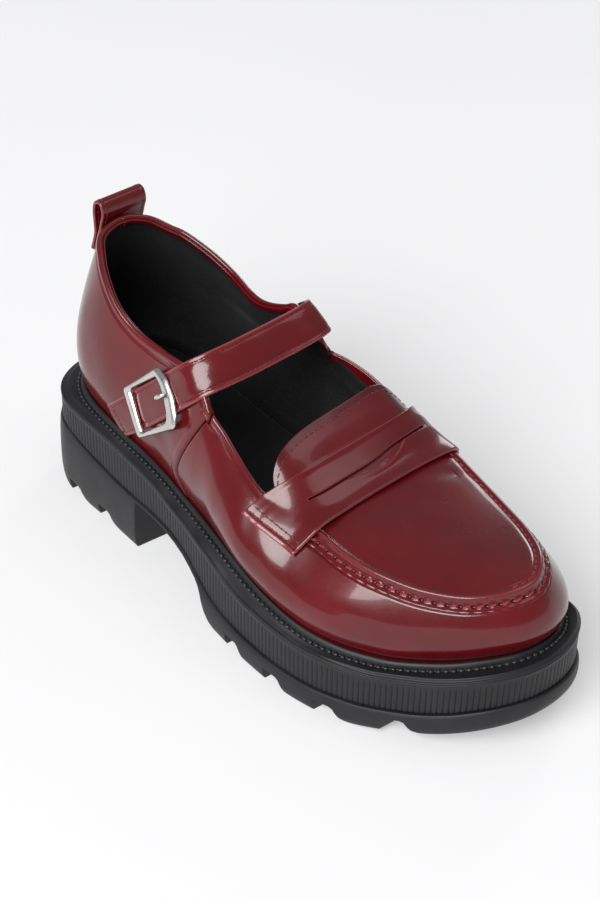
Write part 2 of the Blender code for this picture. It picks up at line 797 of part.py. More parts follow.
def build_buckle(upper):
    """A flat curved frame lying on the strap, and a short prong from the strap's hole over its bar."""
    over_strap = GAP + 0.25 + STRAP_THICKNESS + GAP
    outline = rounded([row[:2] for row in BUCKLE], BUCKLE_CORNER)
    window = rounded([row[2:] for row in BUCKLE], BUCKLE_CORNER)
    rings = []
    for inward, height in ((0.0, 0.0), (0.0, 0.6), (0.14, 0.95), (0.84, 1.0), (1.0, 0.7), (1.0, 0.0)):
        ring = []
        for x, z in outline + inward * (window - outline):
            lift = over_strap + 0.25 + height * BUCKLE_HEIGHT
            ring.append((x, upper.at(OUTER, x, z)[1] - lift, z))
        rings.append(np.array(ring))
    frame_ring("buckle_frame", rings, NICKEL)

    tail, instep = np.array(BUCKLE[0][:2]) + BUCKLE[6][:2], np.array(BUCKLE[1][:2]) + BUCKLE[5][:2]
    along_strap = (instep - tail) / np.linalg.norm(instep - tail)
    path = []
    for distance, height, _ in PRONG:
        x, z = np.array(PRONG_HOLE) + distance * along_strap
        path.append((x, upper.at(OUTER, x, z)[1] - over_strap + GAP - height, z))
    rod("buckle_prong", path, [radius for _, _, radius in PRONG])


def build_pull_loop():
    """A folded strip behind the heel, its two legs sewn down together."""
    path = np.array(PULL_LOOP)
    run = np.roll(path, -1, axis=0) - np.roll(path, 1, axis=0)
    across = np.stack([run[:, 1], -run[:, 0]], axis=1) / np.linalg.norm(run, axis=1)[:, None]
    rings = []
    for side, y in ((1, LOOP_SIDES[0]), (1, LOOP_SIDES[1]), (-1, LOOP_SIDES[1]), (-1, LOOP_SIDES[0])):
        flat = path + side * across * LOOP_THICKNESS / 2
        rings.append(np.array([(x, y, z) for x, z in flat]))
    frame_ring("pull_loop", rings, OXBLOOD)


# ---------------------------------------------------------------- scene
for obj in list(bpy.data.objects):
    bpy.data.objects.remove(obj, do_unlink=True)

PARTS = bpy.data.collections.new("loafer")
CUTTERS = bpy.data.collections.new("cutters")
CUTTERS.hide_render = True
bpy.context.scene.collection.children.link(PARTS)
bpy.context.scene.collection.children.link(CUTTERS)

OXBLOOD = material("oxblood box leather", (0.16, 0.006, 0.012), 0.16, coat=0.6)
BLACK_RUBBER = material("black rubber", (0.014, 0.014, 0.015), 0.5)
BLACK_LINING = material("black lining", (0.008, 0.008, 0.009), 0.7)
NICKEL = material("brushed nickel", (0.62, 0.6, 0.57), 0.25, metallic=1.0)

EDGE_RING = ring_of(plan(EDGE))
FEATHER_RING = ring_of(plan(FEATHER))
build_outsole(EDGE_RING)
build_midsole(EDGE_RING)
build_welt(EDGE_RING, FEATHER_RING)
build_insole(FEATHER_RING)
UPPER = Upper()
build_upper(UPPER)
build_saddle(UPPER)
build_instep_strap(UPPER)
build_buckle(UPPER)
build_pull_loop()
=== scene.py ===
"""Looks of a women's platform penny loafer with an instep strap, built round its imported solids.

Sizes are in millimetres in the shoe's own frame: +X to the toe, +Y to the inner side, +Z up, the
origin on the floor under the middle. Each visible surface is a fine mesh drawn from the same lines
as the solid that it stands for.
"""

from math import cos, pi, radians, sin, tau

import bmesh
import bpy
import numpy as np
from mathutils import Matrix, Vector


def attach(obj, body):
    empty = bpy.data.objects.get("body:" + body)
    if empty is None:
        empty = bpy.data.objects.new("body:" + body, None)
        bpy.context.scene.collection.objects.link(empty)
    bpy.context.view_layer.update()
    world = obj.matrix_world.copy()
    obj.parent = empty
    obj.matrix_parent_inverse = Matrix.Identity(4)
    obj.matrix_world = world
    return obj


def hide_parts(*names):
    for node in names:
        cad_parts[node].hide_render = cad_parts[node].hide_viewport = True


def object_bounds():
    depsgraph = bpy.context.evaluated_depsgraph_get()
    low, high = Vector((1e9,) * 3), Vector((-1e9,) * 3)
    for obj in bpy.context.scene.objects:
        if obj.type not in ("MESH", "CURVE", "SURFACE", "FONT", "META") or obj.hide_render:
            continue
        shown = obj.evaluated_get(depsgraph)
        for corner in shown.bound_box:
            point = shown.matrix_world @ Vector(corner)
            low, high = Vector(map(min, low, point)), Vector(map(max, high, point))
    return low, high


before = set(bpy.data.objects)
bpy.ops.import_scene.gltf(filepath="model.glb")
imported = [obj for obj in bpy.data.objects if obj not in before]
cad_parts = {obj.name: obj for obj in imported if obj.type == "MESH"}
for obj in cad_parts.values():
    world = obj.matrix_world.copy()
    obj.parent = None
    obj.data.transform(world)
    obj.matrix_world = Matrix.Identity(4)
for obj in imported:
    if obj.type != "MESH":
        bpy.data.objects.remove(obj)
CAD_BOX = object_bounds()

MM = 0.001
SIDES = OUTER, INNER = 0, 1


# ---------------------------------------------------------------- curves and grids
def hermite(t, start, leaving, end, arriving):
    """A curve from start to end as t goes from 0 to 1, with its slopes there."""
    first = (1 + 2 * t) * (1 - t) ** 2 * start + t * (1 - t) ** 2 * leaving
    return first + t * t * (3 - 2 * t) * end + t * t * (t - 1) * arriving


def read(where, run, values):
    """The rows of values at places along their run."""
    return np.stack([np.interp(where, run, column) for column in values.T], axis=-1)


def run_of(path):
    """The distance along a path, or along each path of a grid, at each of its points."""
    steps = np.linalg.norm(np.diff(path, axis=-2), axis=-1)
    return np.insert(np.cumsum(steps, axis=-1), 0, 0.0, axis=-1)


class Smooth:
    """The columns of a table at any x, along a curve through its rows that doesn't overshoot."""

    def __init__(self, rows):
        table = np.array(rows, float)
        self.keys, self.values = table[:, 0], table[:, 1:]
        rises = np.diff(self.values, axis=0) / np.diff(self.keys)[:, None]
        before, after = rises[:-1], rises[1:]
        same = before * after > 0
        middle = np.where(same, 2 * before * after / np.where(same, before + after, 1.0), 0.0)
        self.slopes = np.vstack([rises[:1], middle, rises[-1:]])

    def __call__(self, x):
        x = np.clip(x, self.keys[0], self.keys[-1])
        at = np.clip(np.searchsorted(self.keys, x) - 1, 0, len(self.keys) - 2)
        step = (self.keys[at + 1] - self.keys[at])[..., None]
        t = (x - self.keys[at])[..., None] / step
        start, end = self.values[at], self.values[at + 1]
        return hermite(t, start, step * self.slopes[at], end, step * self.slopes[at + 1])


class Line:
    """A dense curve, read by the share of its length."""

    def __init__(self, points):
        self.points = points
        self.run = run_of(points)
        self.total = self.run[-1]

    def at(self, share):
        return read(np.clip(share, 0, 1) * self.total, self.run, self.points)

    def share_of_x(self, x):
        return np.interp(x, self.points[:, 0], self.run) / self.total

    def at_x(self, x):
        return self.at(self.share_of_x(x))


def curve(rows, steps, closed=False):
    """A table of points drawn as one smooth curve through its rows, in so many steps a row."""
    rows = np.array(rows, float)
    ends = (rows[-1:], rows[:2]) if closed else (2 * rows[:1] - rows[1:2], 2 * rows[-1:] - rows[-2:-1])
    padded = np.vstack([ends[0], rows, ends[1]])[:, None]
    a, b, c, d = padded[:-3], padded[1:-2], padded[2:-1], padded[3:]
    t = np.linspace(0, 1, steps, endpoint=False)[:, None]
    fine = hermite(t, b, (c - a) / 2, c, (d - b) / 2).reshape(-1, rows.shape[1])
    return np.vstack([fine, rows[:1] if closed else rows[-1:]])


def halves(outer, inner):
    """Two curves from heel to toe, cut from one closed smooth curve through both rows."""
    steps = 40
    ring = curve(list(outer) + list(inner)[-2:0:-1], steps, closed=True)
    toe = steps * (len(outer) - 1)
    return Line(ring[: toe + 1]), Line(ring[toe:][::-1])


def plan(table):
    """The two halves of a level outline from its x, outer y and inner y."""
    return halves(*([(row[0], row[column], 0.0) for row in table] for column in (1, 2)))


def unit(vectors):
    """Vectors scaled to a length of 1."""
    return vectors / np.maximum(np.linalg.norm(vectors, axis=-1, keepdims=True), 1e-9)


def step_up(low, high, x):
    """A smooth rise from 0 at low to 1 at high."""
    t = np.clip((x - low) / (high - low), 0, 1)
    return t * t * (3 - 2 * t)


def hump(x, centre, half):
    """A smooth bump of height 1 at centre, down to 0 at half either side."""
    return step_up(half, 0, np.abs(x - centre))


def relief(x, humps):
    """Bumps and hollows on one another, each with its centre, half width and height."""
    return sum(height * hump(x, centre, half) for centre, half, height in humps)


def pushed(grid, normal, depth):
    """Points moved along their normals, each by its own depth."""
    return grid + np.asarray(depth)[..., None] * normal


def normals_of(grid, away_from):
    """Unit normals of a grid of points, pointing away from one point inside."""
    normal = unit(np.cross(np.gradient(grid, axis=0), np.gradient(grid, axis=1)))
    return normal if ((grid - np.array(away_from)) * normal).sum() > 0 else -normal


def blurred(grid, sigma, axis):
    """A grid of points smoothed along one axis by so many steps; its two ends stay."""
    reach = int(3 * sigma) + 1
    kernel = np.exp(-0.5 * (np.arange(-reach, reach + 1) / sigma) ** 2)
    kernel /= kernel.sum()
    grid = np.moveaxis(grid, axis, 0)
    first = 2 * grid[:1] - grid[1 : reach + 1][::-1]
    last = 2 * grid[-1:] - grid[-reach - 1 : -1][::-1]
    padded = np.concatenate([first, grid, last])
    smooth = sum(k * padded[at : at + len(grid)] for at, k in enumerate(kernel))
    return np.moveaxis(smooth, 0, axis)


def both_sides(steps):
    """Steps from the back to the toe on the outer side and back again on the inner one, and the sides."""
    return np.r_[steps, steps[:-1][::-1]], np.repeat(SIDES, (len(steps), len(steps) - 1))


def fine_steps(start, end, step, near=(0, 0.08, 0.2, 0.36, 0.56, 0.8, 1.1, 1.5, 2.0)):
    """Places from start to end, close together by both ends."""
    near = np.array(near)
    wide = end - start
    middle = np.linspace(near[-1] + step, wide - near[-1] - step, max(int(wide / step) - 4, 2))
    return start + np.r_[near, middle, wide - near[::-1]]


# ---------------------------------------------------------------- meshes
def cells_of(size, round_rows=False, round_columns=False):
    """The quads of a grid of points, each as the indices of its corners."""
    index = np.arange(size[0] * size[1]).reshape(size[:2])
    if round_rows:
        index = np.vstack([index, index[:1]])
    if round_columns:
        index = np.hstack([index, index[:, :1]])
    return np.stack([index[:-1, :-1], index[:-1, 1:], index[1:, 1:], index[1:, :-1]], axis=-1)


class Shape:
    """Grids gathered into one mesh, each with the index of its material and a tone at its points."""

    def __init__(self):
        self.points, self.faces, self.tones, self.finishes = [], [], [], []
        self.count = 0

    def add(self, points, faces, tone=0.0, finish=0):
        self.points.append(points.reshape(-1, 3))
        self.faces.append(faces.reshape(-1, 4) + self.count)
        self.tones.append(np.broadcast_to(tone, points.shape[:-1]).ravel())
        self.finishes.append(np.full(len(self.faces[-1]), finish))
        self.count += len(self.points[-1])
        return self

    def grid(self, grid, tone=0.0, **rounds):
        return self.add(grid, cells_of(grid.shape, **rounds), tone)


def mesh_object(name, points, faces, tones=None, finishes=None, weld=0.0):
    """An object from points in millimetres and faces, cleaned and with its faces turned outwards."""
    mesh = bpy.data.meshes.new(name)
    mesh.from_pydata(np.array(points) * MM, [], faces)
    if tones is not None:
        mesh.polygons.foreach_set("material_index", finishes)
        mesh.attributes.new("tone", "FLOAT", "POINT").data.foreach_set("value", tones.astype(np.float32))
    worked = bmesh.new()
    worked.from_mesh(mesh)
    if weld:
        bmesh.ops.remove_doubles(worked, verts=worked.verts, dist=weld * MM)
    bmesh.ops.dissolve_degenerate(worked, edges=worked.edges, dist=1e-7)
    loose = [vert for vert in worked.verts if not vert.link_faces]
    bmesh.ops.delete(worked, geom=loose, context="VERTS")
    bmesh.ops.recalc_face_normals(worked, faces=worked.faces)
    worked.to_mesh(mesh)
    worked.free()
    return link(name, mesh)


def link(name, data):
    """A new object of the scene."""
    made = bpy.data.objects.new(name, data)
    bpy.context.scene.collection.objects.link(made)
    return made


def ride(made, materials, node, sharp):
    """The made object as a piece of the shoe, standing for a node of the frame if it names one."""
    for material in materials if isinstance(materials, tuple) else (materials,):
        made.data.materials.append(material)
    made.data.shade_smooth()
    made.data.set_sharp_from_angle(angle=radians(sharp))
    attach(made, "root")
    if node:
        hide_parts(node)


def build(name, shape, materials, node=None, sharp=60.0, weld=0.0):
    """The gathered grids as a piece of the shoe."""
    points, faces = np.vstack(shape.points), np.vstack(shape.faces)
    tones, finishes = np.concatenate(shape.tones), np.concatenate(shape.finishes)
    ride(mesh_object(name, points, faces, tones, finishes, weld), materials, node, sharp)


def slab(name, grid, thickness, materials, node, inside, side=0.0, keep=None, edge=0.45, tone=0.0):
    """A sheet of leather on a grid: an outer face with its edges turned down, a rim and an inner face.
    Side says where the grid lies in the thickness: 1 at the inner face, 0 midway, -1 at the outer one."""
    normal = normals_of(grid, inside)
    flat, lines = grid.reshape(-1, 3), normal.reshape(-1, 3)
    cells = cells_of(grid.shape)
    cells = (cells if keep is None else cells[keep]).reshape(-1, 4)
    ends = np.concatenate([cells[:, [corner, (corner + 1) % 4]] for corner in range(4)])
    _, place, times = np.unique(np.sort(ends, axis=1), axis=0, return_index=True, return_counts=True)
    border = ends[place[times == 1]]
    rim_points = flat[np.unique(border)]
    blocks = np.array_split(flat, len(flat) // 2000 + 1)
    from_edge = np.concatenate(
        [np.linalg.norm(block[:, None] - rim_points, axis=-1).min(axis=1) for block in blocks]
    )
    t = np.clip(1 - from_edge / edge, 0, 1)
    drop = edge * (1 - np.sqrt(1 - 0.96 * t * t))
    high = thickness * (side + 1) / 2
    outer = pushed(flat, lines, high - drop)
    # the faces are painted lighter towards their turned-down edges: a painted highlight, partly wear
    tones = np.broadcast_to(tone, grid.shape[:2]).ravel() + 0.5 * t
    shape = Shape().add(outer, cells, tones)
    shape.add(pushed(flat, lines, high - thickness + 0.6 * drop), cells[:, ::-1], tones, len(materials) - 1)
    shape.faces.append(np.hstack([border[:, ::-1], border + len(flat)]))
    shape.finishes.append(np.full(len(border), len(materials) // 3))
    build(name, shape, materials, node)
    return outer.reshape(grid.shape), normal


def bean(around=8, along=5):
    """A small round-ended body along X, one long and one thick: points and faces of one stitch."""
    turns = np.linspace(0, tau, around, endpoint=False)
    steps = np.linspace(0, pi, along + 2)[:, None]
    radius = 0.5 * np.maximum(np.sin(steps), 0.02) ** 0.6
    along = 0 * turns - 0.5 * np.cos(steps)
    points = np.stack([along, radius * np.cos(turns), radius * np.sin(turns)], axis=-1)
    return points.reshape(-1, 3), cells_of(points.shape, round_columns=True).reshape(-1, 4)


def scatter(shape, places, runs, ups, size, sink=0.0, tilt=0.0):
    """Beans along a row: at each place one lies along its run, size long, wide and high."""
    points, faces = bean()
    runs = unit(runs)
    asides = unit(np.cross(ups, runs))
    ups = np.cross(runs, asides)
    runs, asides = cos(tilt) * runs + sin(tilt) * asides, cos(tilt) * asides - sin(tilt) * runs
    axes = np.stack([runs, asides, ups], axis=1) * np.array(size)[:, None]
    bodies = (places - sink * ups)[:, None] + points @ axes
    numbers = np.arange(len(places))[:, None, None] * len(points)
    return shape.add(bodies, faces + numbers)


def evenly(path, ups, pitch, first=0.0, last=0.0):
    """Places, directions and normals along a path, a pitch apart."""
    run = run_of(path)
    long = run[-1] - last - first
    count = max(int(round(long / pitch)), 1)
    at = first + (np.arange(count) + 0.5) * long / count
    ahead, behind = (read(np.clip(at + step, 0, run[-1]), run, path) for step in (0.5, -0.5))
    return read(at, run, path), ahead - behind, unit(read(at, run, ups))


def stitch(shape, path, ups, pitch, size, first=0.0, last=0.0, sink=-0.02):
    """A row of stitches along a path; gives their places, directions and normals."""
    row = evenly(path, ups, pitch, first, last)
    scatter(shape, *row, size, sink)
    return row


FINE_STITCH = (1.6, 0.52, 0.46)  # length, width, height


# ---------------------------------------------------------------- lines of the last and the sole
# x, outer side y, inner side y of the ribbed edge
EDGE = (
    (-131.6, 7, 7), (-130.9, -4.3, 15.8), (-127.9, -17.6, 23.3), (-121.9, -27.7, 29), (-112.4, -34.1, 34),
    (-99.9, -36.2, 36.8), (-81.9, -37.1, 37.4), (-61.9, -38.6, 36.4), (-41.9, -40.3, 35.9),
    (-23.9, -43.3, 37.1), (-6.9, -46.9, 40.2), (10.1, -49.6, 44.8), (28.1, -51.4, 49.3),
    (46.1, -51.8, 51.7), (63.1, -49.6, 51.5), (78.1, -44.8, 48.9), (91.1, -39, 46), (102.1, -33.4, 43.5),
    (111.1, -27.8, 40.8), (118.1, -21.7, 37), (124.1, -14.5, 30.7), (128.6, -6.6, 22.8),
    (130.9, 0.5, 15.2), (131.6, 7.9, 7.9),
)
# x, outer side y, inner side y of the feather line
FEATHER = (
    (-124.5, 5, 5), (-122.5, -5.5, 14), (-116.4, -17.5, 22.5), (-105.9, -25.5, 27), (-91.9, -29.3, 29),
    (-71.9, -31.6, 29.4), (-51.9, -32.9, 28.6), (-31.9, -35.7, 29.4), (-11.9, -39.1, 33),
    (8.1, -42.7, 38.4), (28.1, -45.3, 43.4), (48.1, -45.1, 46.2), (66.1, -41.3, 45.6),
    (82.1, -33.9, 42.6), (96.1, -24.9, 38.6), (107.1, -15.8, 34.4), (115.1, -6.6, 28), (119.9, 1.5, 20.8),
    (121.8, 11, 11),
)
# x, height of the top of the ribbed edge, height of its foot
HEIGHTS = Smooth((
    (-131.4, 45, 34.5), (-109, 44.5, 32.3), (-96, 43.8, 29.5), (-81, 42.8, 26.8), (-66, 41.8, 25.1),
    (-54, 40.7, 24.9), (-41, 39.3, 24.9), (-30, 37.9, 24.7), (-23, 37.2, 24), (-16, 36.5, 22.6),
    (-7.2, 35.5, 19.2), (2.5, 34.1, 14.6), (7.6, 33.1, 12.9), (14.7, 31.8, 11.6), (24.7, 30, 10.8),
    (37.7, 27.8, 10.4), (57.4, 25.5, 10.4), (81.8, 24.9, 11), (101, 27.6, 14), (112, 30.4, 17.2),
    (121.4, 33, 20.6), (132.5, 36.8, 24.4),
))
TOP_OF_EDGE, FOOT_OF_EDGE = 0, 1
WELT_SEAT = 6.0

LUG_SKEW = radians(5.4)
# distance ahead of each lug's square front end, height above the floor
GROOVE = (
    (0, 0), (0, 6), (6.8, 6), (8.4, 5.2), (9.6, 3.4), (10.9, 1.6), (12.9, 0.4), (15, 0),
)
HEEL_LUG_ENDS = (-120.5, -103.5, -81.4)
BREAST = -53.0
FOREPART_LUG_ENDS = (18.4, 43.2, 68.2, 93.4)
# x, height of the underside behind the heel's first groove, and under the arch
HEEL_BACK = (
    (-142, 16), (-136, 12), (-134, 7.4), (-131, 3.6), (-127.5, 1.1), (-124, 0),
)
ARCH = (
    (BREAST, 23.8), (-41, 23.8), (-30, 23.6), (-23, 22.9), (-16, 21.5), (-10, 19.3), (-5.5, 17.2),
    (-3, 15.3), (-1.2, 13), (0.3, 9.5), (2.5, 6), (6, 2.6), (11, 0.6), (14, 0),
)
SPRING_FROM = 72.0
SPRING_TO = (135.0, 16.5)  # x, how far the toe has lifted there
BELOW = -8.0  # the depth of the body that cuts the sole from below
CUT_REACH = 90.0  # and its half width

# x, y, z along the top edge: collar, quarter, throat, then the apron's ridge
TOP_OUTER = (
    (-115.4, 2.8, 119), (-112.4, -10.2, 117.4), (-103.3, -17.6, 112.6), (-93.7, -22.1, 106.9),
    (-83.6, -24.6, 100.8), (-72.4, -24.8, 95.7), (-59.8, -24.2, 93.3), (-47.3, -25.6, 94.6),
    (-37.9, -26.2, 95.5), (-29.9, -27.2, 94), (-23.9, -28.6, 89.5), (-19.4, -29.5, 85),
    (-10.9, -29.8, 80.8), (-1.9, -31.2, 76.5), (8.1, -33.2, 72.8), (18.1, -34, 69.5), (31.1, -32.2, 66.5),
    (43.7, -30.5, 64.9), (54.8, -30.9, 63.8), (66, -30.4, 63.2), (77.7, -27.9, 62.9), (89.5, -23.9, 62.7),
    (101.6, -17.1, 63.2), (109.6, -9.8, 64.2), (115.1, -1.2, 65.5), (117, 6.8, 66.3),
)
TOP_INNER = (
    (-115.4, 2.8, 119), (-111.4, 14.2, 117), (-104, 21.1, 112.8), (-98.1, 25.1, 110.1),
    (-86.3, 29.4, 104.4), (-74.6, 30.9, 99.6), (-62.9, 29.8, 96.3), (-56.3, 29.4, 95.7),
    (-49.6, 29.4, 97), (-42.5, 29.7, 99.7), (-36, 29.8, 102.8), (-29, 30.6, 99.2), (-23.8, 32.2, 93.6),
    (-21, 35.6, 86.2), (-12.9, 39, 83.6), (-4.3, 41, 81.2), (4.1, 41.8, 78.4), (18.1, 42.2, 73.6),
    (31.1, 42.2, 70), (44.3, 42, 67.3), (56.7, 40, 65.6), (69.2, 37.4, 64.6), (81.6, 34, 64.5),
    (93.5, 29.9, 65.2), (104.9, 24.1, 66.2), (111.6, 18.2, 66.7), (115.6, 12.2, 66.5), (117, 6.8, 66.3),
)
# x, swell past a straight side: outer, inner; how squarely the shoulder turns in: outer, inner
SWELLS = Smooth((
    (-126, 6.5, 7.5, 0, 0), (-100, 5.4, 6.5, 0, 0), (-60, 3, 3, 0, 0), (-20, 3.2, 2.5, 0.3, 0),
    (0, 4.6, 3.2, 0.8, 0.1), (17, 5.8, 4.2, 0.9, 0.2), (32, 5.4, 4.4, 0.6, 0.2), (45, 5, 4.6, 0.4, 0.2),
    (70, 5.2, 5.2, 0.35, 0.2), (100, 5.5, 5.5, 0.2, 0.2), (125, 5.5, 5.5, 0.1, 0.1),
))
# x, height of the middle of the tongue and the apron, how square its shoulders are
RIDGES = Smooth((
    (9, 88, 6), (14, 85.2, 6), (19, 82.2, 5), (26, 77.7, 4.5), (33, 73.5, 4), (40, 69.8, 3.5),
    (46, 67.9, 3), (58, 66.9, 2.5), (75, 66, 2.2), (100, 65.9, 2), (117, 66.3, 2),
))
# x, y, z round the cut edge of the tongue, from the outer throat edge to the inner one
TONGUE_EDGE = (
    (21.8, -32.6, 69.9), (20.1, -31.6, 71.9), (16.6, -29.7, 76), (14.6, -25.9, 80.5), (13.2, -20.5, 83.5),
    (11.9, -11.5, 85.5), (11.2, -0.4, 86.6), (11, 10.3, 87.3), (10.6, 21.6, 87.9), (10.2, 28, 87.8),
    (10.2, 33.5, 86.1), (10.9, 38.2, 81.8), (12.8, 41.2, 77.2), (16, 42.4, 74.2), (19, 42.2, 72.6),
)
# x, z of the seam between quarter and vamp, from the throat down: outer side, inner side
SEAM = {
    OUTER: ((-19.4, 85), (-26.5, 70.5), (-33.2, 55), (-31.5, 47.5), (-24.4, 41.5)),
    INNER: ((-21, 86.2), (-25, 77), (-28.5, 65.5), (-30.2, 56), (-29.3, 48)),
}
FEATHER_SIDES = plan(FEATHER)
TOP_SIDES = halves(TOP_OUTER, TOP_INNER)

# ---------------------------------------------------------------- the upper's faces
ALONG_WALL = 0.006  # the share of a wall either side of a point that gives its direction
WALL_RUN = 330.0  # a little over the length of a wall, so that the search for x settles
ROUNDS = 14  # how often the search for x is repeated
# points inside the shoe, under each part that is drawn with its face away from them
INSIDE = (0.0, 4.0, 55.0)
UNDER_APRON = (60.0, 6.0, 20.0)
UNDER_SADDLE = (30.0, 5.0, 30.0)
UNDER_STRAP = (-40.0, 4.0, 60.0)
UNDER_COLLAR = (-20.0, 4.0, 80.0)
# middle x, y, z of each crease, its direction, half length, half width, depth (a ridge is negative)
CREASES = (
    ((20, -44, 58), (0.35, 0.05, -1), 15, 4.5, 0.5), ((31, -45, 52), (0.5, 0, -1), 13, 4, -0.3),
    ((2, -40, 58), (0.7, 0, -1), 17, 5, 0.35), ((84, -37, 44), (1, 0.35, -0.12), 20, 3.6, 0.4),
    ((60, -46, 44), (1, 0.02, 0.1), 16, 3.2, -0.3), ((106, -22, 48), (0.8, 0.6, 0.05), 12, 3.2, 0.3),
    ((40, 47, 48), (0.6, 0, -1), 14, 4.5, 0.4), ((54, 48, 52), (0.5, 0, -1), 12, 4, -0.3),
    ((10, 44, 60), (0.6, 0, -1), 16, 5, 0.4), ((-44, -33, 62), (1, 0, -0.75), 15, 5, 0.45),
    ((-60, -33, 58), (1, 0, -0.45), 18, 5, 0.35), ((-95, -31, 74), (0.5, 0.3, -1), 18, 7, 0.35),
    ((-108, -24, 88), (0.3, 0.4, -1), 14, 5, -0.25), ((-50, 32, 66), (1, 0, -0.6), 16, 5.5, 0.45),
    ((-70, 34, 78), (1, 0, 0.4), 16, 5, -0.3), ((-96, 32, 70), (0.4, -0.2, -1), 18, 6, 0.35),
    ((48, -12, 67), (0.2, 1, 0), 15, 4, 0.28), ((57, 12, 67), (0.15, 1, 0), 18, 4.5, 0.3),
    ((66, -4, 67), (-0.1, 1, 0), 18, 5, -0.2), ((52, 30, 66), (0.5, 1, 0), 10, 3.5, 0.25),
)


def creased(grid, normal, creases=CREASES):
    """A grid of points with the creases near it pressed in."""
    depth = np.zeros(grid.shape[:-1])
    for centre, direction, half_length, half_width, deep in creases:
        way = unit(np.array(direction, float))
        offset = grid - np.array(centre)
        length = offset @ way
        aside = np.linalg.norm(offset - length[..., None] * way, axis=-1)
        depth += deep * np.exp(-((length / half_length) ** 2) - (aside / half_width) ** 2)
    return pushed(grid, normal, -depth)


def wall(side, share, level):
    """Points of a wall: level runs from 0 at the welt to 1 at the top edge, and below 0 into the welt."""
    share, level = np.broadcast_arrays(np.asarray(share, float), level)
    line = FEATHER_SIDES[side]
    foot = line.at(share)
    foot[..., 2] = HEIGHTS(foot[..., 0])[..., TOP_OF_EDGE] + WELT_SEAT
    head = TOP_SIDES[side].at(share)
    run = line.at(share + ALONG_WALL) - line.at(share - ALONG_WALL)
    out = unit(np.stack([run[..., 1], -run[..., 0], 0 * share], axis=-1)) * (1 if side == OUTER else -1)
    shape = SWELLS(foot[..., 0])
    up = np.clip(level, 0, 1)
    lean = 0.45 * up + 0.55 * step_up(0, 1, up)
    lean = lean + shape[..., 2 + side] * (up**4 - lean)
    swell = shape[..., side] * np.sin(pi * up**0.85)
    return pushed(foot + (head - foot) * np.stack([lean, lean, level], axis=-1), out, swell)


def wall_at(sides, share, level):
    """Points of both walls, where each row of the grid lies on its own side."""
    share, level = np.broadcast_arrays(share, level)
    grid = np.empty((*share.shape, 3))
    for side in SIDES:
        here = sides == side
        if here.any():
            grid[here] = wall(side, share[here], level[here])
    return grid


def at_xz(side, x, z):
    """The share and level of a wall's points at x and z."""
    share = FEATHER_SIDES[side].share_of_x(x)
    for _ in range(ROUNDS):
        foot, head = (wall(side, share, end)[..., 2] for end in (0, 1))
        level = np.clip((z - foot) / (head - foot), 0, 1)
        share = np.clip(share + (x - wall(side, share, level)[..., 0]) / WALL_RUN, 0, 1)
    return share, level


def on_wall(side, x, z):
    """The points of a wall at x and z."""
    return wall(side, *at_xz(side, x, z))


def seam_share(side, level):
    """Where along a wall the seam between quarter and vamp stands, at each level."""
    rows = curve(SEAM[side], 8)
    share, high = at_xz(side, rows[:, 0], rows[:, 1])
    high[0] = 1.0
    share[0] = TOP_SIDES[side].share_of_x(rows[0, 0])
    order = np.argsort(high)
    return np.interp(level, high[order], share[order])


def levels_down(sides, share, distances):
    """The levels of the walls at given distances down their surface from the top edge."""
    fine = np.linspace(1.0, 0.45, 70)
    run = run_of(wall_at(sides, share[:, None], fine))
    distances = np.broadcast_to(distances, (len(run), np.shape(distances)[-1]))
    return np.array([np.interp(wanted, row, fine) for wanted, row in zip(distances, run)])


# inward, up: the rolled collar, from the outer face over the edge to the red facing inside
COLLAR = (
    (0.05, -4.4), (0.12, -3.7), (0.16, -3.3), (-0.15, -2.9), (-0.5, -2.1), (-0.62, -1.3), (-0.5, -0.5),
    (-0.1, 0.15), (0.55, 0.55), (1.25, 0.45), (1.75, -0.05), (1.95, -0.6), (2.1, -0.75), (2.35, -0.35),
    (2.7, -0.25), (3, -0.6), (3.1, -1.2), (3, -2), (2.85, -2.6), (2.5, -2.9), (1.9, -3),
)
# inward, up: the folded throat edge of the vamp
THROAT = (
    (0, -4.4), (0.02, -3.6), (0.12, -2.9), (0.2, -2.5), (0, -2.1), (-0.22, -1.4), (-0.15, -0.7),
    (0.05, -0.2), (0.3, 0.1), (0.6, 0.12), (0.85, -0.12), (1.1, -0.18), (1.4, 0), (1.7, -0.2),
    (1.85, -0.8), (1.85, -2), (1.8, -3.6), (1.8, -5.6),
)
EDGE_FROM = 4.5  # how far down the wall an edge section starts
SEAM_ROUND = 1.7  # radius of the turned edges along the quarter seam
SEAM_PIPING = ((2.9, 0.9, 0.13), (4.0, 0.8, -0.10))
BACK_STEPS = (0.0, 0.1, 0.25, 0.45, 0.7, 1.0, 1.4)
SEAM_STEPS = (0.0, 0.06, 0.16, 0.3, 0.48, 0.7, 0.95, 1.25, 1.6, 2.0, 2.5, 3.1, 3.8)
WALL_ROWS = 74
MIDDLE_ROW = 40
FOOT_TUCK = 0.6
LOWEST = -0.12  # the level where a wall's foot is hidden in the welt
HIDDEN = (20.0, 29.0)  # x, under the penny strap, where the throat edge gives way to the apron's ridge


def seam_steps(length):
    """Shares of a length from a seam: close together at it, even further on."""
    return np.r_[SEAM_STEPS, np.linspace(4.6, length, int((length - 4.6) / 0.75) + 2)] / length


def turned_edge(distance):
    """How far a panel's face drops at a distance from its turned edge."""
    t = np.clip(1 - distance / SEAM_ROUND, 0, 1)
    return -0.95 * SEAM_ROUND * (1 - np.sqrt(1 - t * t * 0.98))


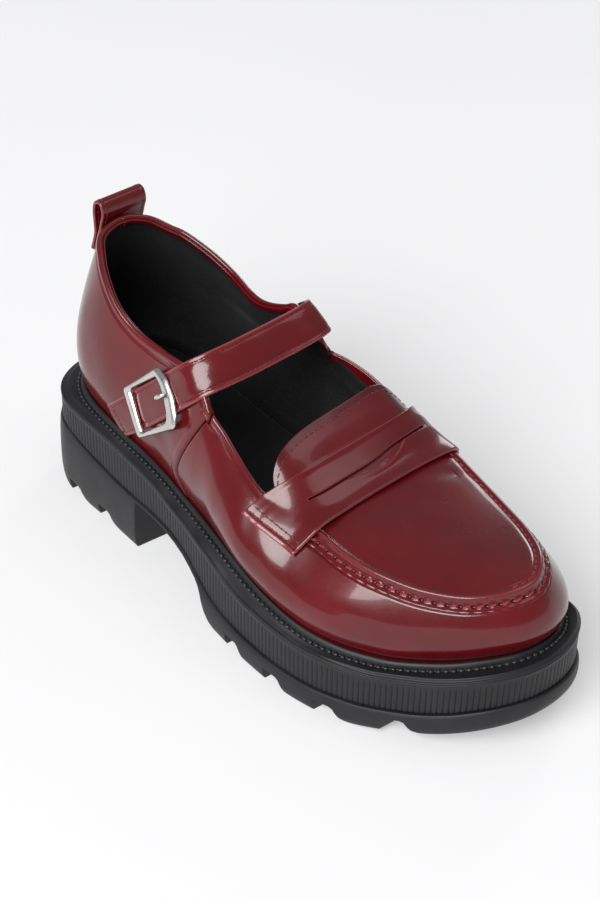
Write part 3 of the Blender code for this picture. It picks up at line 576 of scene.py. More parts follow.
def folded_wall(shares, sides, section, under):
    """A wall's grid and normals: columns along the shoe, rows from inside the welt up and over its edge.
    Where under is 1 the edge tucks in below the apron instead."""
    top = shares(np.ones((len(sides), 1)))[:, 0]
    high = levels_down(sides, top, (EDGE_FROM + 0.9 * under)[:, None])
    level = LOWEST + (high - LOWEST) * np.linspace(0, 1, WALL_ROWS)
    grid = wall_at(sides, shares(level), level)
    normal = normals_of(grid, INSIDE)
    grid = creased(grid, normal)
    head, below = (wall_at(sides, top, end) for end in (1.0, 0.955))
    up = unit(head - below)
    out = unit(np.cross(unit(np.gradient(head, axis=0)), up))
    if ((head - np.array(UNDER_COLLAR)) * out).sum() < 0:
        out = -out
    rows = curve(section, 3)
    folded = head[:, None] - rows[:, :1] * out[:, None] + rows[:, 1:] * up[:, None]
    hidden = pushed(grid[:, -1:], normal[:, -1:], -np.linspace(0.2, 3.0, len(rows)))
    folded = folded + under[:, None, None] * (hidden - folded)
    last = np.repeat(normal[:, -1:], len(rows), axis=1)
    return np.concatenate([grid, folded], axis=1), np.concatenate([normal, last], axis=1)


def build_wall(name, grid, normal, from_seam, depth):
    """A wall's panel with its turned edge along the seam, tucked in at its foot."""
    row = np.arange(grid.shape[1])
    depth = depth + turned_edge(from_seam) - FOOT_TUCK * step_up(7, 0, row)
    # painted shade: the tone darkens the leather along the seam between quarter and vamp
    shape = Shape().grid(pushed(grid, normal, depth), -0.5 * hump(from_seam, 0, 1.2))
    build(name, shape, LEATHER, "upper")


def build_quarter(side, name):
    """One quarter, from the back seam to the seam with the vamp, with its rolled collar."""
    length = 100.0
    apart = np.unique(np.r_[np.array(BACK_STEPS) / length, 1 - seam_steps(length)])

    def shares(level):
        return apart[:, None] * seam_share(side, level)

    grid, normal = folded_wall(shares, np.full(len(apart), side), COLLAR, 0.0 * apart)
    run = run_of(grid[:, MIDDLE_ROW])[:, None]
    from_seam = run[-1] - run
    build_wall(name, grid, normal, from_seam, 0.5 * turned_edge(run * 1.5) + relief(from_seam, SEAM_PIPING))


def build_vamp():
    """The vamp's wall with its throat edge; ahead of that its top tucks under the apron's rolled seam."""
    apart, sides = both_sides(seam_steps(150.0))

    def shares(level):
        seam = np.where((sides == OUTER)[:, None], seam_share(OUTER, level), seam_share(INNER, level))
        return seam + apart[:, None] * (1 - seam)

    tops = shares(np.ones((len(sides), 1)))[:, 0]
    under = step_up(*HIDDEN, wall_at(sides, tops, 1.0)[:, 0])
    grid, normal = folded_wall(shares, sides, THROAT, under)
    run = run_of(grid[:, MIDDLE_ROW])[:, None]
    tucked = step_up(WALL_ROWS - 4, WALL_ROWS - 1, np.arange(grid.shape[1]))
    build_wall("vamp", grid, normal, np.minimum(run, run[-1] - run), -0.9 * under[:, None] * tucked)


# ---------------------------------------------------------------- the apron and its rolled seam
# distance across the ridge, from the apron (below 0) down the wall; height of the face there
ROLL = Smooth((
    (-8, 0), (-5, 0), (-3.6, -0.05), (-2.7, -0.24), (-2.1, -0.2), (-1.5, 0.1), (-0.9, 0.52), (-0.3, 0.76),
    (0.2, 0.78), (0.8, 0.56), (1.5, 0.1), (2.3, -0.1), (3, -0.22), (3.7, -0.32), (4.4, -0.16), (5, 0.18),
    (5.6, 0.42), (6.1, 0.38), (6.4, 0.08), (6.5, -0.45), (6.6, -0.95),
))
ROLL_FROM, ROLL_TO = -7.0, 6.6
ROLL_ROWS = 76
ROLL_X = 24.0  # the roll starts here, under the penny strap
RIDGE_REACH = 9.0
RIDGE_STATIONS = 320
HOLE_ROW = 3.55  # distance of the pucker holes below the crest
STITCH_ROW = -1.95
HOLE_PITCH = 4.7
HOLE_DEEP = 0.75
PLUG_COLUMNS = 64
# distance across the ridge, half width, tone: painted shade where the lip turns down into the wall, a painted
# highlight along the crest
ROLL_SHADE_AND_HIGHLIGHT = ((6.5, 0.35, -0.5), (0.1, 0.8, 0.25))
TONGUE_FRONT = 31.0  # x where the tongue ends, under the penny strap


def apron_z(x, y):
    """The apron's height, between its two edges at the same x."""
    outer, inner = (line.at_x(x) for line in TOP_SIDES)
    width = np.maximum(inner[..., 1] - outer[..., 1], 1e-6)
    across = np.clip(2 * (y - outer[..., 1]) / width - 1, -1, 1)
    ridge = RIDGES(x)
    flat = outer[..., 2] + (inner[..., 2] - outer[..., 2]) * (1 + across) / 2
    rise = ridge[..., 0] - (outer[..., 2] + inner[..., 2]) / 2
    return flat + rise * (1 - np.abs(across) ** ridge[..., 1])


def across_apron(x, share):
    """Points of the apron at x and at a share from its outer edge to its inner one."""
    outer, inner = (line.at_x(x)[..., 1] for line in TOP_SIDES)
    y = outer + (inner - outer) * share
    x = x + 0 * y
    return np.stack([x, y, apron_z(x, y)], axis=-1)


def ridge_sections():
    """Round the ridge, outer side to toe to inner side: sections of the roll from apron to wall."""
    apart, sides = both_sides(np.linspace(0, 1, RIDGE_STATIONS + 1))
    first = np.array([line.share_of_x(ROLL_X) for line in TOP_SIDES])[sides]
    share = first + apart * (1 - first)
    reach = np.linspace(0, RIDGE_REACH, 60)
    down = wall_at(sides, share[:, None], levels_down(sides, share, reach))
    ridge = blurred(wall_at(sides, share, 1.0), 4, 0)
    along = unit(np.gradient(ridge, axis=0) * (1, 1, 0))
    inward = np.stack([-along[:, 1], along[:, 0], 0 * share], axis=-1)
    if (inward * (np.array(UNDER_APRON) - ridge)).sum() < 0:
        inward = -inward
    flat = ridge[:, None] + reach[:0:-1, None] * inward[:, None]
    flat[..., 2] = apron_z(flat[..., 0], flat[..., 1])
    return blurred(blurred(np.concatenate([flat, down], axis=1), 4.6, 1), 3, 0)


def roll_hole(run, pitch, offset):
    """1 in the middle of each hole of a row, 0 between them."""
    phase = (run / pitch) % 1.0 - 0.5
    return np.clip(1 - (np.abs(phase) * pitch / 1.05) ** 2 - (offset / 0.75) ** 2, 0, 1)


def build_apron():
    """The apron with its rolled ridge: crest, row of pucker holes and the lip that lies on the wall."""
    sections = ridge_sections()
    reach = np.linspace(-RIDGE_REACH, RIDGE_REACH, sections.shape[1])
    # rows closer together at the lip's edge
    rows = np.unique(np.r_[np.linspace(ROLL_FROM, ROLL_TO, ROLL_ROWS), np.linspace(6.0, ROLL_TO, 9)])
    grid = np.array([read(rows, reach, section) for section in sections])
    normal = normals_of(grid, UNDER_APRON)
    run = run_of(grid[:, np.abs(rows).argmin()])
    pitch = run[-1] / round(run[-1] / HOLE_PITCH)
    hole = np.sqrt(roll_hole(run[:, None], pitch, rows - HOLE_ROW))
    between = roll_hole(run[:, None] + pitch / 2, pitch, (rows - HOLE_ROW) * 0.6)
    wave = np.cos(tau * run / pitch)[:, None]
    depth = ROLL(rows)[:, 0] - HOLE_DEEP * hole + 0.12 * between
    depth = depth + wave * relief(rows, ((5.4, 1.6, 0.10), (1.6, 1.6, -0.07)))
    roll = pushed(grid, normal, depth)
    roll = pushed(roll, unit(np.gradient(grid, axis=1)), 0.10 * wave * step_up(5.6, 6.4, rows))
    roll = np.where((rows < -3.0)[:, None], creased(roll, normal), roll)
    outer, inner = roll[: RIDGE_STATIONS + 1, 0], roll[RIDGE_STATIONS:, 0][::-1]
    across = np.linspace(0, 1, PLUG_COLUMNS + 1)
    plug = outer[:, None] + (inner - outer)[:, None] * across[:, None]
    plug[..., 2] = apron_z(plug[..., 0], plug[..., 1])
    for edge, column, near in ((outer, 0, 1 - 5 * across), (inner, -1, 5 * across - 4)):
        plug[..., 2] += (edge[:, 2] - plug[:, column, 2])[:, None] * np.clip(near, 0, 1) ** 2
    # the tone paints shade in the pucker holes and under the lip, and a highlight along the crest
    shape = Shape().grid(roll, -0.55 * hole + relief(rows, ROLL_SHADE_AND_HIGHLIGHT))
    shape.grid(creased(plug, np.array((0.0, 0.0, 1.0))))
    build("apron", shape, LEATHER, "upper", weld=0.02)

    at = np.abs(rows - STITCH_ROW).argmin()
    places, runs, ups = evenly(roll[:, at] + 0.12 * normal[:, at], normal[:, at], 3.4, 3.0, 3.0)
    shown = places[:, 1] > 0
    threads = scatter(Shape(), places[shown], runs[shown], ups[shown], (2.2, 0.7, 0.5))
    build("apron_stitches", threads, THREAD)

    # a lace over the wall between each two holes, turned a little to the row
    at = np.abs(rows - HOLE_ROW + 0.1).argmin()
    laced = np.arange(int(round(run[-1] / pitch))) * pitch
    laced = laced[(laced > 4) & (laced < run[-1] - 4)]
    # the dark bodies sunk in the pucker holes are painted shade inside them
    for name, where, deep, body, material in (
        ("ridge_stitches", laced, 0.0, ((pitch - 1.6, 0.95, 0.9), 0.02, 0.30), THREAD),
        ("ridge_hole_shade", laced[:-1] + pitch / 2, HOLE_DEEP, ((1.7, 0.9, 0.3),), HOLE_SHADE),
    ):
        ahead, behind, places = (read(where + step, run, roll[:, at]) for step in (0.5, -0.5, 0.0))
        ups = unit(read(where, run, normal[:, at]))
        build(name, scatter(Shape(), places - deep * ups, ahead - behind, ups, *body), material)


def build_tongue():
    """The apron's tail behind the penny strap, with a rounded cut edge and a row of stitches along it."""
    rim = blurred(Line(curve(TONGUE_EDGE, 10)).at(np.linspace(0, 1, 180)), 2.0, 0)
    x = np.full(len(rim), TONGUE_FRONT)
    front, ahead = (np.stack([at, rim[:, 1], apron_z(at, rim[:, 1])], axis=-1) for at in (x, x + 1.0))
    slope = (ahead - front) * (front[:, :1] - rim[:, :1])
    chord = front - rim
    steps = np.array([0, 0.06, 0.15, 0.28, 0.45, 0.7, 1, *np.linspace(1.5, 20, 38)])[:, None, None] / 20
    top = hermite(steps, rim, chord + 0.5 * (chord - slope), front, slope)
    top[..., 2] -= 0.7 * step_up(18.0, 26.0, top[..., 0])
    away = np.linalg.norm(top - rim, axis=-1)
    tone = -0.4 * step_up(3.6, 2.6, away)
    face, normal = slab("tongue", top, 1.7, (LEATHER, LINING), "upper", UNDER_APRON, side=-1, tone=tone)
    row = np.abs(away - 3.3).argmin(axis=0), np.arange(len(rim))
    threads = Shape()
    stitch(threads, face[row], normal[row], 2.9, (2.1, 0.6, 0.45), 4.0, 3.0)
    build("tongue_stitches", threads, THREAD_DARK)


# ---------------------------------------------------------------- penny strap
SADDLE_THICKNESS = 1.5
SADDLE_LIFT = 0.8
SADDLE_WIDE = 26.5
# back edge, then front edge: x and height of its low end, x where it passes over the ridge
SADDLE_ENDS = {
    OUTER: ((15.6, 63.4, 17.9), (41, 56.8, 44)),
    INNER: ((16.8, 66.2, 18.1), (40.2, 57.4, 44.5)),
}
SADDLE_SIDE_STEPS = 28
SADDLE_OVER_STEPS = 120
SLOT = (0.576, 0.632)  # its two sides, as shares from the back edge to the front one
SLOT_REACH = (-0.83, 0.89)  # the slot's two ends, across the apron from -1 to 1
# share from the back edge to the front one, how far the line bows forward over the middle
BOW = Smooth(((0, 6.4), (0.2, 4.6), (0.4, 2.8), (0.575, 1.2), (0.63, 1), (0.82, 0.4), (1, -0.2)))
# run over the foot as a share of the strap's length, how much of its width the slot's line lies further back
SLOT_BACK = Smooth((
    (0, 0.06), (0.2, 0.11), (0.28, 0.06), (0.4, 0.05), (0.5, 0.055), (0.58, 0.09), (0.66, 0.15),
    (0.75, 0.18), (0.85, 0.205), (1, 0.12),
))
NOTCH = (-9.0, 24.0)  # y of the half-moon's two ends
NOTCH_DEEP = 3.6
SADDLE_CREASES = (
    ((22, -35, 72.5), (0.15, 0.75, 0.65), 10, 1.3, -0.35),
    ((25.5, -35, 71.5), (0.1, 0.75, 0.65), 12, 1.2, -0.4),
    ((29.5, -34.5, 70), (0, 0.8, 0.6), 11, 1.1, -0.3),
    ((23.8, -35, 72), (0.12, 0.75, 0.65), 10, 1.2, 0.3),
    ((27.5, -35, 71), (0.05, 0.75, 0.65), 11, 1.1, 0.3),
    ((34, -34, 68.5), (-0.1, 0.8, 0.6), 9, 1.6, 0.25), ((26, 43, 74), (0, -0.75, 0.6), 9, 1.4, -0.3),
    ((30, 43, 73), (0, -0.75, 0.6), 9, 1.3, 0.25), ((22, 5, 84), (0.1, 1, 0), 22, 3, 0.25),
)


def saddle_path(share):
    """The strap's line over the foot, low outer end to low inner end, and where the slot ends on it."""
    walls, over = [], []
    for side in SIDES:
        back, front = np.array(SADDLE_ENDS[side])
        x, z, ridge = back + share * (front - back)
        foot = np.array((x, z))
        head = TOP_SIDES[side].at_x(ridge)[[0, 2]]
        places = foot + np.linspace(0, 0.96, SADDLE_SIDE_STEPS)[:, None] * (head - foot)
        walls.append(on_wall(side, *places.T))
        over.append(ridge)
    across = np.linspace(0, 1, SADDLE_OVER_STEPS + 1)
    bow = BOW(share)[0] * (1 - np.abs(2 * across - 1) ** 5)
    middle = across_apron(over[OUTER] + (over[INNER] - over[OUTER]) * across + bow, across)
    line = Line(np.vstack([walls[OUTER], middle[1:-1], walls[INNER][::-1]]))
    ends = [SADDLE_SIDE_STEPS + int(round(SADDLE_OVER_STEPS / 2 * (1 + way))) for way in SLOT_REACH]
    return line, line.run[ends] / line.total


def build_saddle():
    """The penny strap with its slot and half-moon, the stitches at its ends and the leather behind it."""
    low, high = (share * SADDLE_WIDE for share in SLOT)
    back, front = fine_steps(0, low, 0.75), fine_steps(high, SADDLE_WIDE, 0.75)
    rows = np.r_[back, np.linspace(low, high, 4)[1:-1], front] / SADDLE_WIDE
    slot = slice(len(back) - 1, len(back) + 2)
    even, nominal = np.linspace(0, 1, 420), np.linspace(0, 1, 41)
    field = np.array([saddle_path(share)[0].at(even) for share in nominal])
    moved = rows - SLOT_BACK(even) * np.sin(pi * rows**1.36)
    grid = np.stack([read(line, nominal, field[:, at]) for at, line in enumerate(moved)], axis=1)
    grid = blurred(blurred(grid, 4.2, 1), 1.2, 0)
    lines = [saddle_path(share) for share in rows]
    total = np.mean([line.total for line, _ in lines])
    ends = np.mean([ends for _, ends in lines[slot.start : slot.stop + 1]], axis=0) * total
    parts = fine_steps(0, ends[0], 0.8)[:-1], fine_steps(*ends, 0.8), fine_steps(ends[1], total, 0.8)[1:]
    from_outer = np.concatenate(parts)
    first, last = (np.abs(from_outer - end).argmin() for end in ends)
    grid = np.array([read(from_outer / total, even, row) for row in grid])
    # the half-moon notch: rows ahead of the slot pushed forward in the middle
    along = np.clip((grid[..., 1] - NOTCH[0]) / (NOTCH[1] - NOTCH[0]), 0, 1)
    share = rows[:, None]
    fade = np.where(share < SLOT[1] - 1e-6, 0.0, step_up(SLOT[1] + 0.22, SLOT[1], share))
    push = (NOTCH_DEEP * np.sin(pi * along**1.5) ** 0.85 * fade)[..., None] * unit(grid[-1] - grid[0])
    grid = grid + push
    normal = normals_of(grid, UNDER_SADDLE)
    from_end = np.minimum(from_outer, total - from_outer)
    lift = SADDLE_LIFT + SADDLE_THICKNESS / 2 + 0.12 * np.sin(pi * np.clip(share, 0, 1))
    rise = 0.3 * step_up(0.15, 0.0, share) + 0.45 * step_up(0.8, 1.0, share)
    rise = rise + 0.75 * step_up(0.75, 1.0, share) * hump(from_outer, 17.0, 12.0)
    band = 0.34 * step_up(1.9, 1.6, from_end) + relief(from_end, ((0, 3.0, -0.35), (2.05, 0.45, -0.16)))
    grid = creased(pushed(grid, normal, lift + rise + band), normal, SADDLE_CREASES)
    keep = np.ones((len(rows) - 1, len(from_outer) - 1), bool)
    keep[slot, first:last] = False
    # painted reflection: a lighter band at the strap's low outer end, where its turned edge catches the light
    tone = 0.35 * step_up(1.9, 1.5, from_end) * (from_outer < total / 2)
    sheet = "saddle_look", grid, SADDLE_THICKNESS, CUT_LEATHER, "saddle", UNDER_SADDLE
    face, normal = slab(*sheet, keep=keep, tone=tone)

    threads, holes = Shape(), Shape()
    half = len(from_end) // 2
    for start, some in ((0, from_end[:half]), (half, from_end[half:])):
        for away in (2.75, 4.75):
            at = start + np.abs(some - away).argmin()
            places, runs, ups = stitch(threads, face[:, at], normal[:, at], 2.5, (1.35, 0.6, 0.45), 1.2, 1.2)
            between = (places[1:] + places[:-1]) / 2
            # dark flat marks between the stitches: painted shade of the needle holes
            scatter(holes, between, runs[1:], ups[1:], (0.95, 0.85, 0.30), -0.02)
    build("saddle_stitches", threads, THREAD)
    # the leather that shows through the half-moon lies close under it
    low, high = (np.abs(rows - SLOT[1] - more).argmin() for more in (0, 0.28))
    below = face - push - 0.95 * normal
    build("slot_backing", Shape().grid(below[low:high, first + 3 : last - 3]), LEATHER)
    build("saddle_needle_hole_shade", holes, HOLE_SHADE)


# ---------------------------------------------------------------- instep strap, buckle, pull loop
STRAP_THICKNESS = 2.0
STRAP_LIFT = 0.55
STRAP_WIDE = 16.0
# back edge x, y, z and front edge x, y, z, from the seam on the inner side to the tail
STRAP = (
    (-34.6, 29.8, 104.2, -23, 31.6, 95.6), (-29, 29.6, 108.6, -17.4, 31.6, 99),
    (-24.6, 28, 111.9, -13.2, 30.4, 101.2), (-24.4, 24, 111.9, -13, 26.6, 101.2),
    (-25.9, 12.7, 109.5, -14.2, 13.6, 99), (-28.9, -1.9, 106.6, -17.4, -1.5, 95.6),
    (-31.2, -14.5, 104.2, -19.8, -14.2, 92.9), (-34.4, -24.6, 101.9, -22.8, -28.4, 91.6),
    (-39.4, -29, 97.6, -28, -32.4, 86.4), (-47.6, -27, 89.6, -36.4, -29, 78.2),
    (-57.8, -27, 79.9, -46.6, -29, 68.5), (-68.6, -27, 69.7, -57.4, -29, 58.3),
    (-79.8, -27, 59.3, -68.8, -29, 48.9),
)
STRAP_FOLDS = ((13.2, 1.6, 0.35), (11.2, 1.3, -0.30), (9.4, 1.3, 0.25))
# outer outline x, z, then the window's x, z: tail side back, instep side, tail side front
BUCKLE = (
    (-68.7, 73.7, -64.9, 74.9), (-52.5, 90.3, -51, 87.2), (-44.8, 89, -46.3, 84.6),
    (-37.8, 84.4, -42.4, 80.9), (-33.6, 79.2, -39.6, 77.3), (-32.3, 74.6, -38.4, 73.9),
    (-55.5, 57.1, -53.1, 61),
)
# the section of a rail: share of the way from the outer outline to the window, share of the height
RAIL = (
    (0.04, 0), (0, 0.12), (0, 0.42), (0.03, 0.58), (0.14, 0.82), (0.22, 0.93), (0.34, 1), (0.62, 1),
    (0.74, 0.95), (0.86, 0.84), (0.97, 0.62), (1, 0.48), (1, 0.12), (0.96, 0),
)
OVER_STRAP = STRAP_LIFT + STRAP_THICKNESS + 0.55
BUCKLE_HEIGHT = 1.9
BUCKLE_CORNER = 1.8
PRONG_HOLE = (-46.9, 80.6)
# distance from the hole along the strap, height over the strap's outer face, radius
PRONG = (
    (-0.1, -1.2, 0.75), (0, 0.2, 0.8), (0.5, 1.8, 0.85), (1.9, 3.3, 0.95), (3.6, 3.9, 1.05),
    (5.6, 3.95, 1), (7, 3.5, 0.75),
)


def build_strap():
    """Over the instep from the inner seam, down outside the outer quarter to its cut tail."""
    fine = curve(STRAP, 16)
    line = Line(fine[:, :3])
    run = fine_steps(0, line.total, 0.8)
    rows = read(run, line.run, fine)
    across = fine_steps(0, STRAP_WIDE, 0.7)
    grid = rows[:, None, :3] + (rows[:, 3:] - rows[:, :3])[:, None] * across[:, None] / STRAP_WIDE
    # the part that rests on the outer wall stands off it
    resting = (grid[..., 1] < -16.0) & (rows[:, 2] < 104.0)[:, None]
    seat = np.array(grid)
    seat[resting] = on_wall(OUTER, grid[resting][:, 0], grid[resting][:, 2])
    lower = resting & (grid[..., 1] < -20.0) & (grid[..., 2] < seat[..., 2] + 2.0)
    grid[lower, 1] = np.minimum(grid[lower, 1], seat[lower, 1] - STRAP_LIFT - STRAP_THICKNESS / 2)
    grid = blurred(grid, 8.0, 0)
    normal = normals_of(grid, UNDER_STRAP)
    aside = np.minimum(across, STRAP_WIDE - across)
    down = run[:, None]
    crown = 0.22 * step_up(1.2, 5.0, aside) - 0.20 * hump(aside, 1.9, 0.7)
    waves = 0.05 * np.sin(down * 0.42 + 6 * across / STRAP_WIDE) * step_up(18, 26, down)
    grid = pushed(grid, normal, crown + waves + relief(down, STRAP_FOLDS))
    # painted highlight along both cut edges
    tone = 0.30 * step_up(1.3, 0.5, aside)
    sheet = "instep_strap_look", grid, STRAP_THICKNESS, CUT_LEATHER, "instep_strap", UNDER_STRAP
    face, normal = slab(*sheet, tone=tone, edge=0.6)

    threads = Shape()
    for away in (1.95, STRAP_WIDE - 1.95):
        at = np.abs(across - away).argmin()
        stitch(threads, face[:, at], normal[:, at], 2.15, FINE_STITCH, 2.0, 2.2, sink=-0.03)
    tail = np.abs(run - (line.total - 2.0)).argmin(), aside > 2.3
    stitch(threads, face[tail], normal[tail], 2.15, FINE_STITCH, sink=-0.03)
    build("strap_stitches", threads, THREAD_DARK)


def rounded(corners, radius):
    """A closed outline with round corners, in fine steps."""
    after = np.roll(corners, -1, axis=0)
    side = after - corners
    reach = side * np.minimum(radius / np.linalg.norm(side, axis=1), 0.45)[:, None]
    starts, ends = ((corners + way)[:, None] for way in (-np.roll(reach, 1, axis=0), reach))
    bend, straight = np.linspace(0, 1, 9)[:, None], np.linspace(0, 1, 12)[1:-1, None]
    bends = (1 - bend) ** 2 * starts + 2 * bend * (1 - bend) * corners[:, None] + bend**2 * ends
    straights = ends + straight * ((after - reach)[:, None] - ends)
    return np.concatenate([bends, straights], axis=1).reshape(-1, 2)


def off_wall(flat, away):
    """Points over x and z that stand so far off the outer wall."""
    x, z = flat.T
    return np.stack([x, on_wall(OUTER, x, z)[:, 1] - away, z], axis=-1)


def build_buckle():
    """A flat curved frame with bevelled rails, and the prong from the strap's hole over its bar."""
    corners = np.array(BUCKLE, float)
    outline, window = (rounded(some, BUCKLE_CORNER) for some in (corners[:, :2], corners[:, 2:]))
    rings = [
        off_wall(outline + inward * (window - outline), OVER_STRAP + 0.02 + height * BUCKLE_HEIGHT)
        for inward, height in curve(RAIL, 3)
    ]
    shape = Shape().grid(np.array(rings), round_rows=True, round_columns=True)
    build("buckle_frame_look", shape, NICKEL, "buckle_frame", sharp=50)

    way = unit((corners[1] + corners[5] - corners[0] - corners[6])[:2])
    fine = curve(PRONG, 6)
    path = off_wall(np.array(PRONG_HOLE) + fine[:, :1] * way, OVER_STRAP + fine[:, 1])
    run = unit(np.gradient(path, axis=0))
    aside = unit(np.cross(run, (0.3, 0.2, 1.0)))
    turns = np.linspace(0, tau, 24, endpoint=False)[:, None]
    circle = np.cos(turns) * aside[:, None] + np.sin(turns) * np.cross(aside, run)[:, None]
    rings = pushed(path[:, None], circle, fine[:, 2:])
    # both tips close to rounded points
    close = np.linspace(0, pi / 2, 6)[1:, None, None]
    narrow = np.maximum(np.cos(close), 0.01)
    back, tip = (
        path[at] + fine[at, 2] * (sign * np.sin(close) * run[at] + narrow * circle[at])
        for at, sign in ((0, -1), (-1, 1))
    )
    shape = Shape().grid(np.concatenate([back[::-1], rings, tip]), round_columns=True)
    build("buckle_prong_look", shape, NICKEL, "buckle_prong", sharp=70)


LOOP_THICKNESS = 1.6
LOOP_SIDES = (-6.2, 16.8)
# x, z of the folded strip's middle line, up the outer leg, over the fold and down the inner leg
PULL_LOOP = (
    (-124.5, 103.2), (-123, 107.5), (-121.8, 112), (-121.9, 117), (-122.1, 122), (-121.3, 125.6),
    (-119.2, 127.2), (-117, 126.2), (-116.1, 123), (-117.3, 118), (-119.2, 112.5), (-120.9, 107.5),
    (-122.4, 103.4),
)


def build_pull_loop():
    """A folded strip behind the heel, round-edged, stitched along both sides."""
    path = np.insert(curve(PULL_LOOP, 8), 1, 0.0, axis=1)
    out = unit(np.gradient(path, axis=0))[:, ::-1] * (1, 0, -1)
    wide = fine_steps(*LOOP_SIDES, 0.9)
    from_edge = np.minimum(wide - wide[0], wide[-1] - wide)
    t = np.clip(1 - from_edge / 0.6, 0, 1)
    depth = LOOP_THICKNESS / 2 - 0.6 * (1 - np.sqrt(1 - 0.96 * t * t)) - 0.12 * hump(from_edge, 2.0, 0.6)
    place = np.arange(len(path))[:, None]
    crease = 0.10 * np.sin(place * 0.55) * hump(place, 66, 30)
    sheet = path[:, None] + wide[:, None] * np.array((0.0, 1.0, 0.0))
    faces = [pushed(sheet, out[:, None], side * depth + crease) for side in (1, -1)]
    # painted highlight along both edges
    tones = 0.3 * np.clip(1 - from_edge / 0.8, 0, 1)
    ring = np.concatenate([faces[0], faces[1][:, ::-1]], axis=1)
    shape = Shape().grid(ring, np.r_[tones, tones[::-1]], round_rows=True, round_columns=True)
    build("pull_loop_look", shape, LEATHER, "pull_loop", sharp=70)
    threads = Shape()
    near = np.abs(from_edge[: len(wide) // 2] - 2.0).argmin()
    for at in (near, len(wide) - 1 - near):
        for face, side in zip(faces, (1, -1)):
            stitch(threads, face[:, at], side * out, 2.2, FINE_STITCH, 2.0, 2.0)
    build("pull_loop_stitches", threads, THREAD_DARK)


# ---------------------------------------------------------------- lining and insole
LINING_CREASES = (
    ((-30, 34, 92), (1, 0.1, -0.35), 20, 2.2, -0.9), ((-38, 34, 84), (1, 0.1, -0.25), 22, 2.6, -0.8),
    ((-62, 30, 96), (1, -0.1, 0.15), 22, 2, -0.7), ((-66, 30, 84), (1, -0.1, 0.1), 24, 2.8, 0.8),
    ((-6, 38, 78), (0.8, 0.1, -0.6), 14, 2, -0.8), ((4, 40, 72), (0.8, 0.1, -0.5), 14, 2.2, -0.7),
    ((-2, 40, 66), (0.8, 0.1, -0.4), 14, 2.4, 0.8),
)
LINING_ROWS = 60
LINING_LOW = -0.13  # the level of its foot on the walls
LINING_IN = 2.05  # how far it lies behind the walls' faces
COLLAR_TO = -20.2  # x where the collar ends and the throat begins
UNDER_EDGE = (1.7, 0.8)  # how far below the top edge the lining stops: behind the collar, ahead of it
ROOF_DROP = 2.4  # how far the roof of the toe lies below the apron


def build_lining():
    """The black lining: both walls from the insole up behind the red facing, and the roof of the toe."""
    share, sides = both_sides(np.linspace(0, 1, 171))
    x = wall_at(sides, share, 1.0)[:, :1]
    tops = levels_down(sides, share, np.where(x < COLLAR_TO, *UNDER_EDGE))
    level = LINING_LOW + (tops - LINING_LOW) * np.linspace(0, 1, LINING_ROWS)
    grid = wall_at(sides, share[:, None], level)
    normal = normals_of(grid, INSIDE)
    grid = pushed(grid, normal, -LINING_IN - 0.30 * step_up(-26.0, -12.0, x))
    ripple = 0.25 * np.sin(grid[..., 0] * 0.11 + grid[..., 2] * 0.17) + 0.15 * np.sin(grid[..., 0] * 0.31)
    grid = pushed(grid, normal, -0.5 * ripple)
    run = run_of(grid[:, LINING_ROWS // 2])[:, None]
    grid = pushed(grid, normal, relief(run, [(at * run[-1], 1.0, -0.3) for at in (0.23, 0.77)]))
    tuck = 0.5 * step_up(LINING_ROWS - 8, LINING_ROWS - 1, np.arange(LINING_ROWS)) ** 2
    grid = pushed(creased(grid, normal, LINING_CREASES), normal, tuck)
    # both walls meet in one line at the back of the heel
    grid[0] = grid[-1] = (grid[0] + grid[-1]) / 2
    roof = across_apron(np.linspace(23.0, 116.6, 90)[:, None], np.linspace(0.015, 0.985, 50))
    roof[..., 2] -= ROOF_DROP
    build("lining", Shape().grid(grid).grid(roof), LINING, "upper")


def ring_line(table):
    """The loop of a plan table, outer side first."""
    outer, inner = plan(table)
    return Line(np.vstack([outer.points, inner.points[::-1][1:]]))


def outward(loop):
    """Level unit vectors that point out of a closed loop."""
    tangent = np.roll(loop, -1, axis=0) - np.roll(loop, 1, axis=0)
    out = unit(tangent[:, (1, 0, 2)] * (-1, 1, 0))
    return out if ((loop - loop.mean(axis=0)) * out).sum() > 0 else -out


def ring(table, count):
    """Points an even distance apart round a plan table, and the level vectors out of it there."""
    loop = ring_line(table).at(np.arange(count) / count)
    return loop, outward(loop)


# x, how far the outer rim and the top of the ribs stand over the sole's own line there
RIM_RISE = Smooth((
    (-131, 0.6), (-90, 0.9), (-62, 1), (-45, 0.7), (-32, -0.2), (-16, -0.1), (-5, -0.5), (4, -1.4),
    (12, -2.4), (20, -2.4), (30, -1.3), (42, -0.1), (60, 1), (80, 1.8), (100, 2.6), (120, 2.6),
    (132, 1.6),
))


def sole_height(points, column):
    """The height of the ribbed edge's top or foot; the foot's line runs on the skew, with the grooves."""
    along = points[:, 0]
    if column == FOOT_OF_EDGE:
        along = cos(LUG_SKEW) * points[:, 0] - sin(LUG_SKEW) * points[:, 1]
    return HEIGHTS(along)[:, column]


def swept(loop, out, rows):
    """Loops grown and lifted: rows of growth, column of the sole's heights, rise, share of the rim's rise."""
    made = []
    for growth, column, rise, share in rows:
        grown = pushed(loop, out, growth)
        grown[:, 2] = sole_height(grown, column) + rise + share * RIM_RISE(grown[:, 0])[:, 0]
        made.append(grown)
    return np.array(made)


# x, half length and depth of the hollows under the heel and the ball of the foot
DISHES = ((-88, 42, 0.9), (45, 40, 0.7))
# growth past the feather line, rise: up the edge of the insole and over it
INSOLE_EDGE = ((-2.75, 0.4), (-2.75, 2.3), (-3.0, 2.75), (-3.45, 3.05), (-4.05, 3.2))


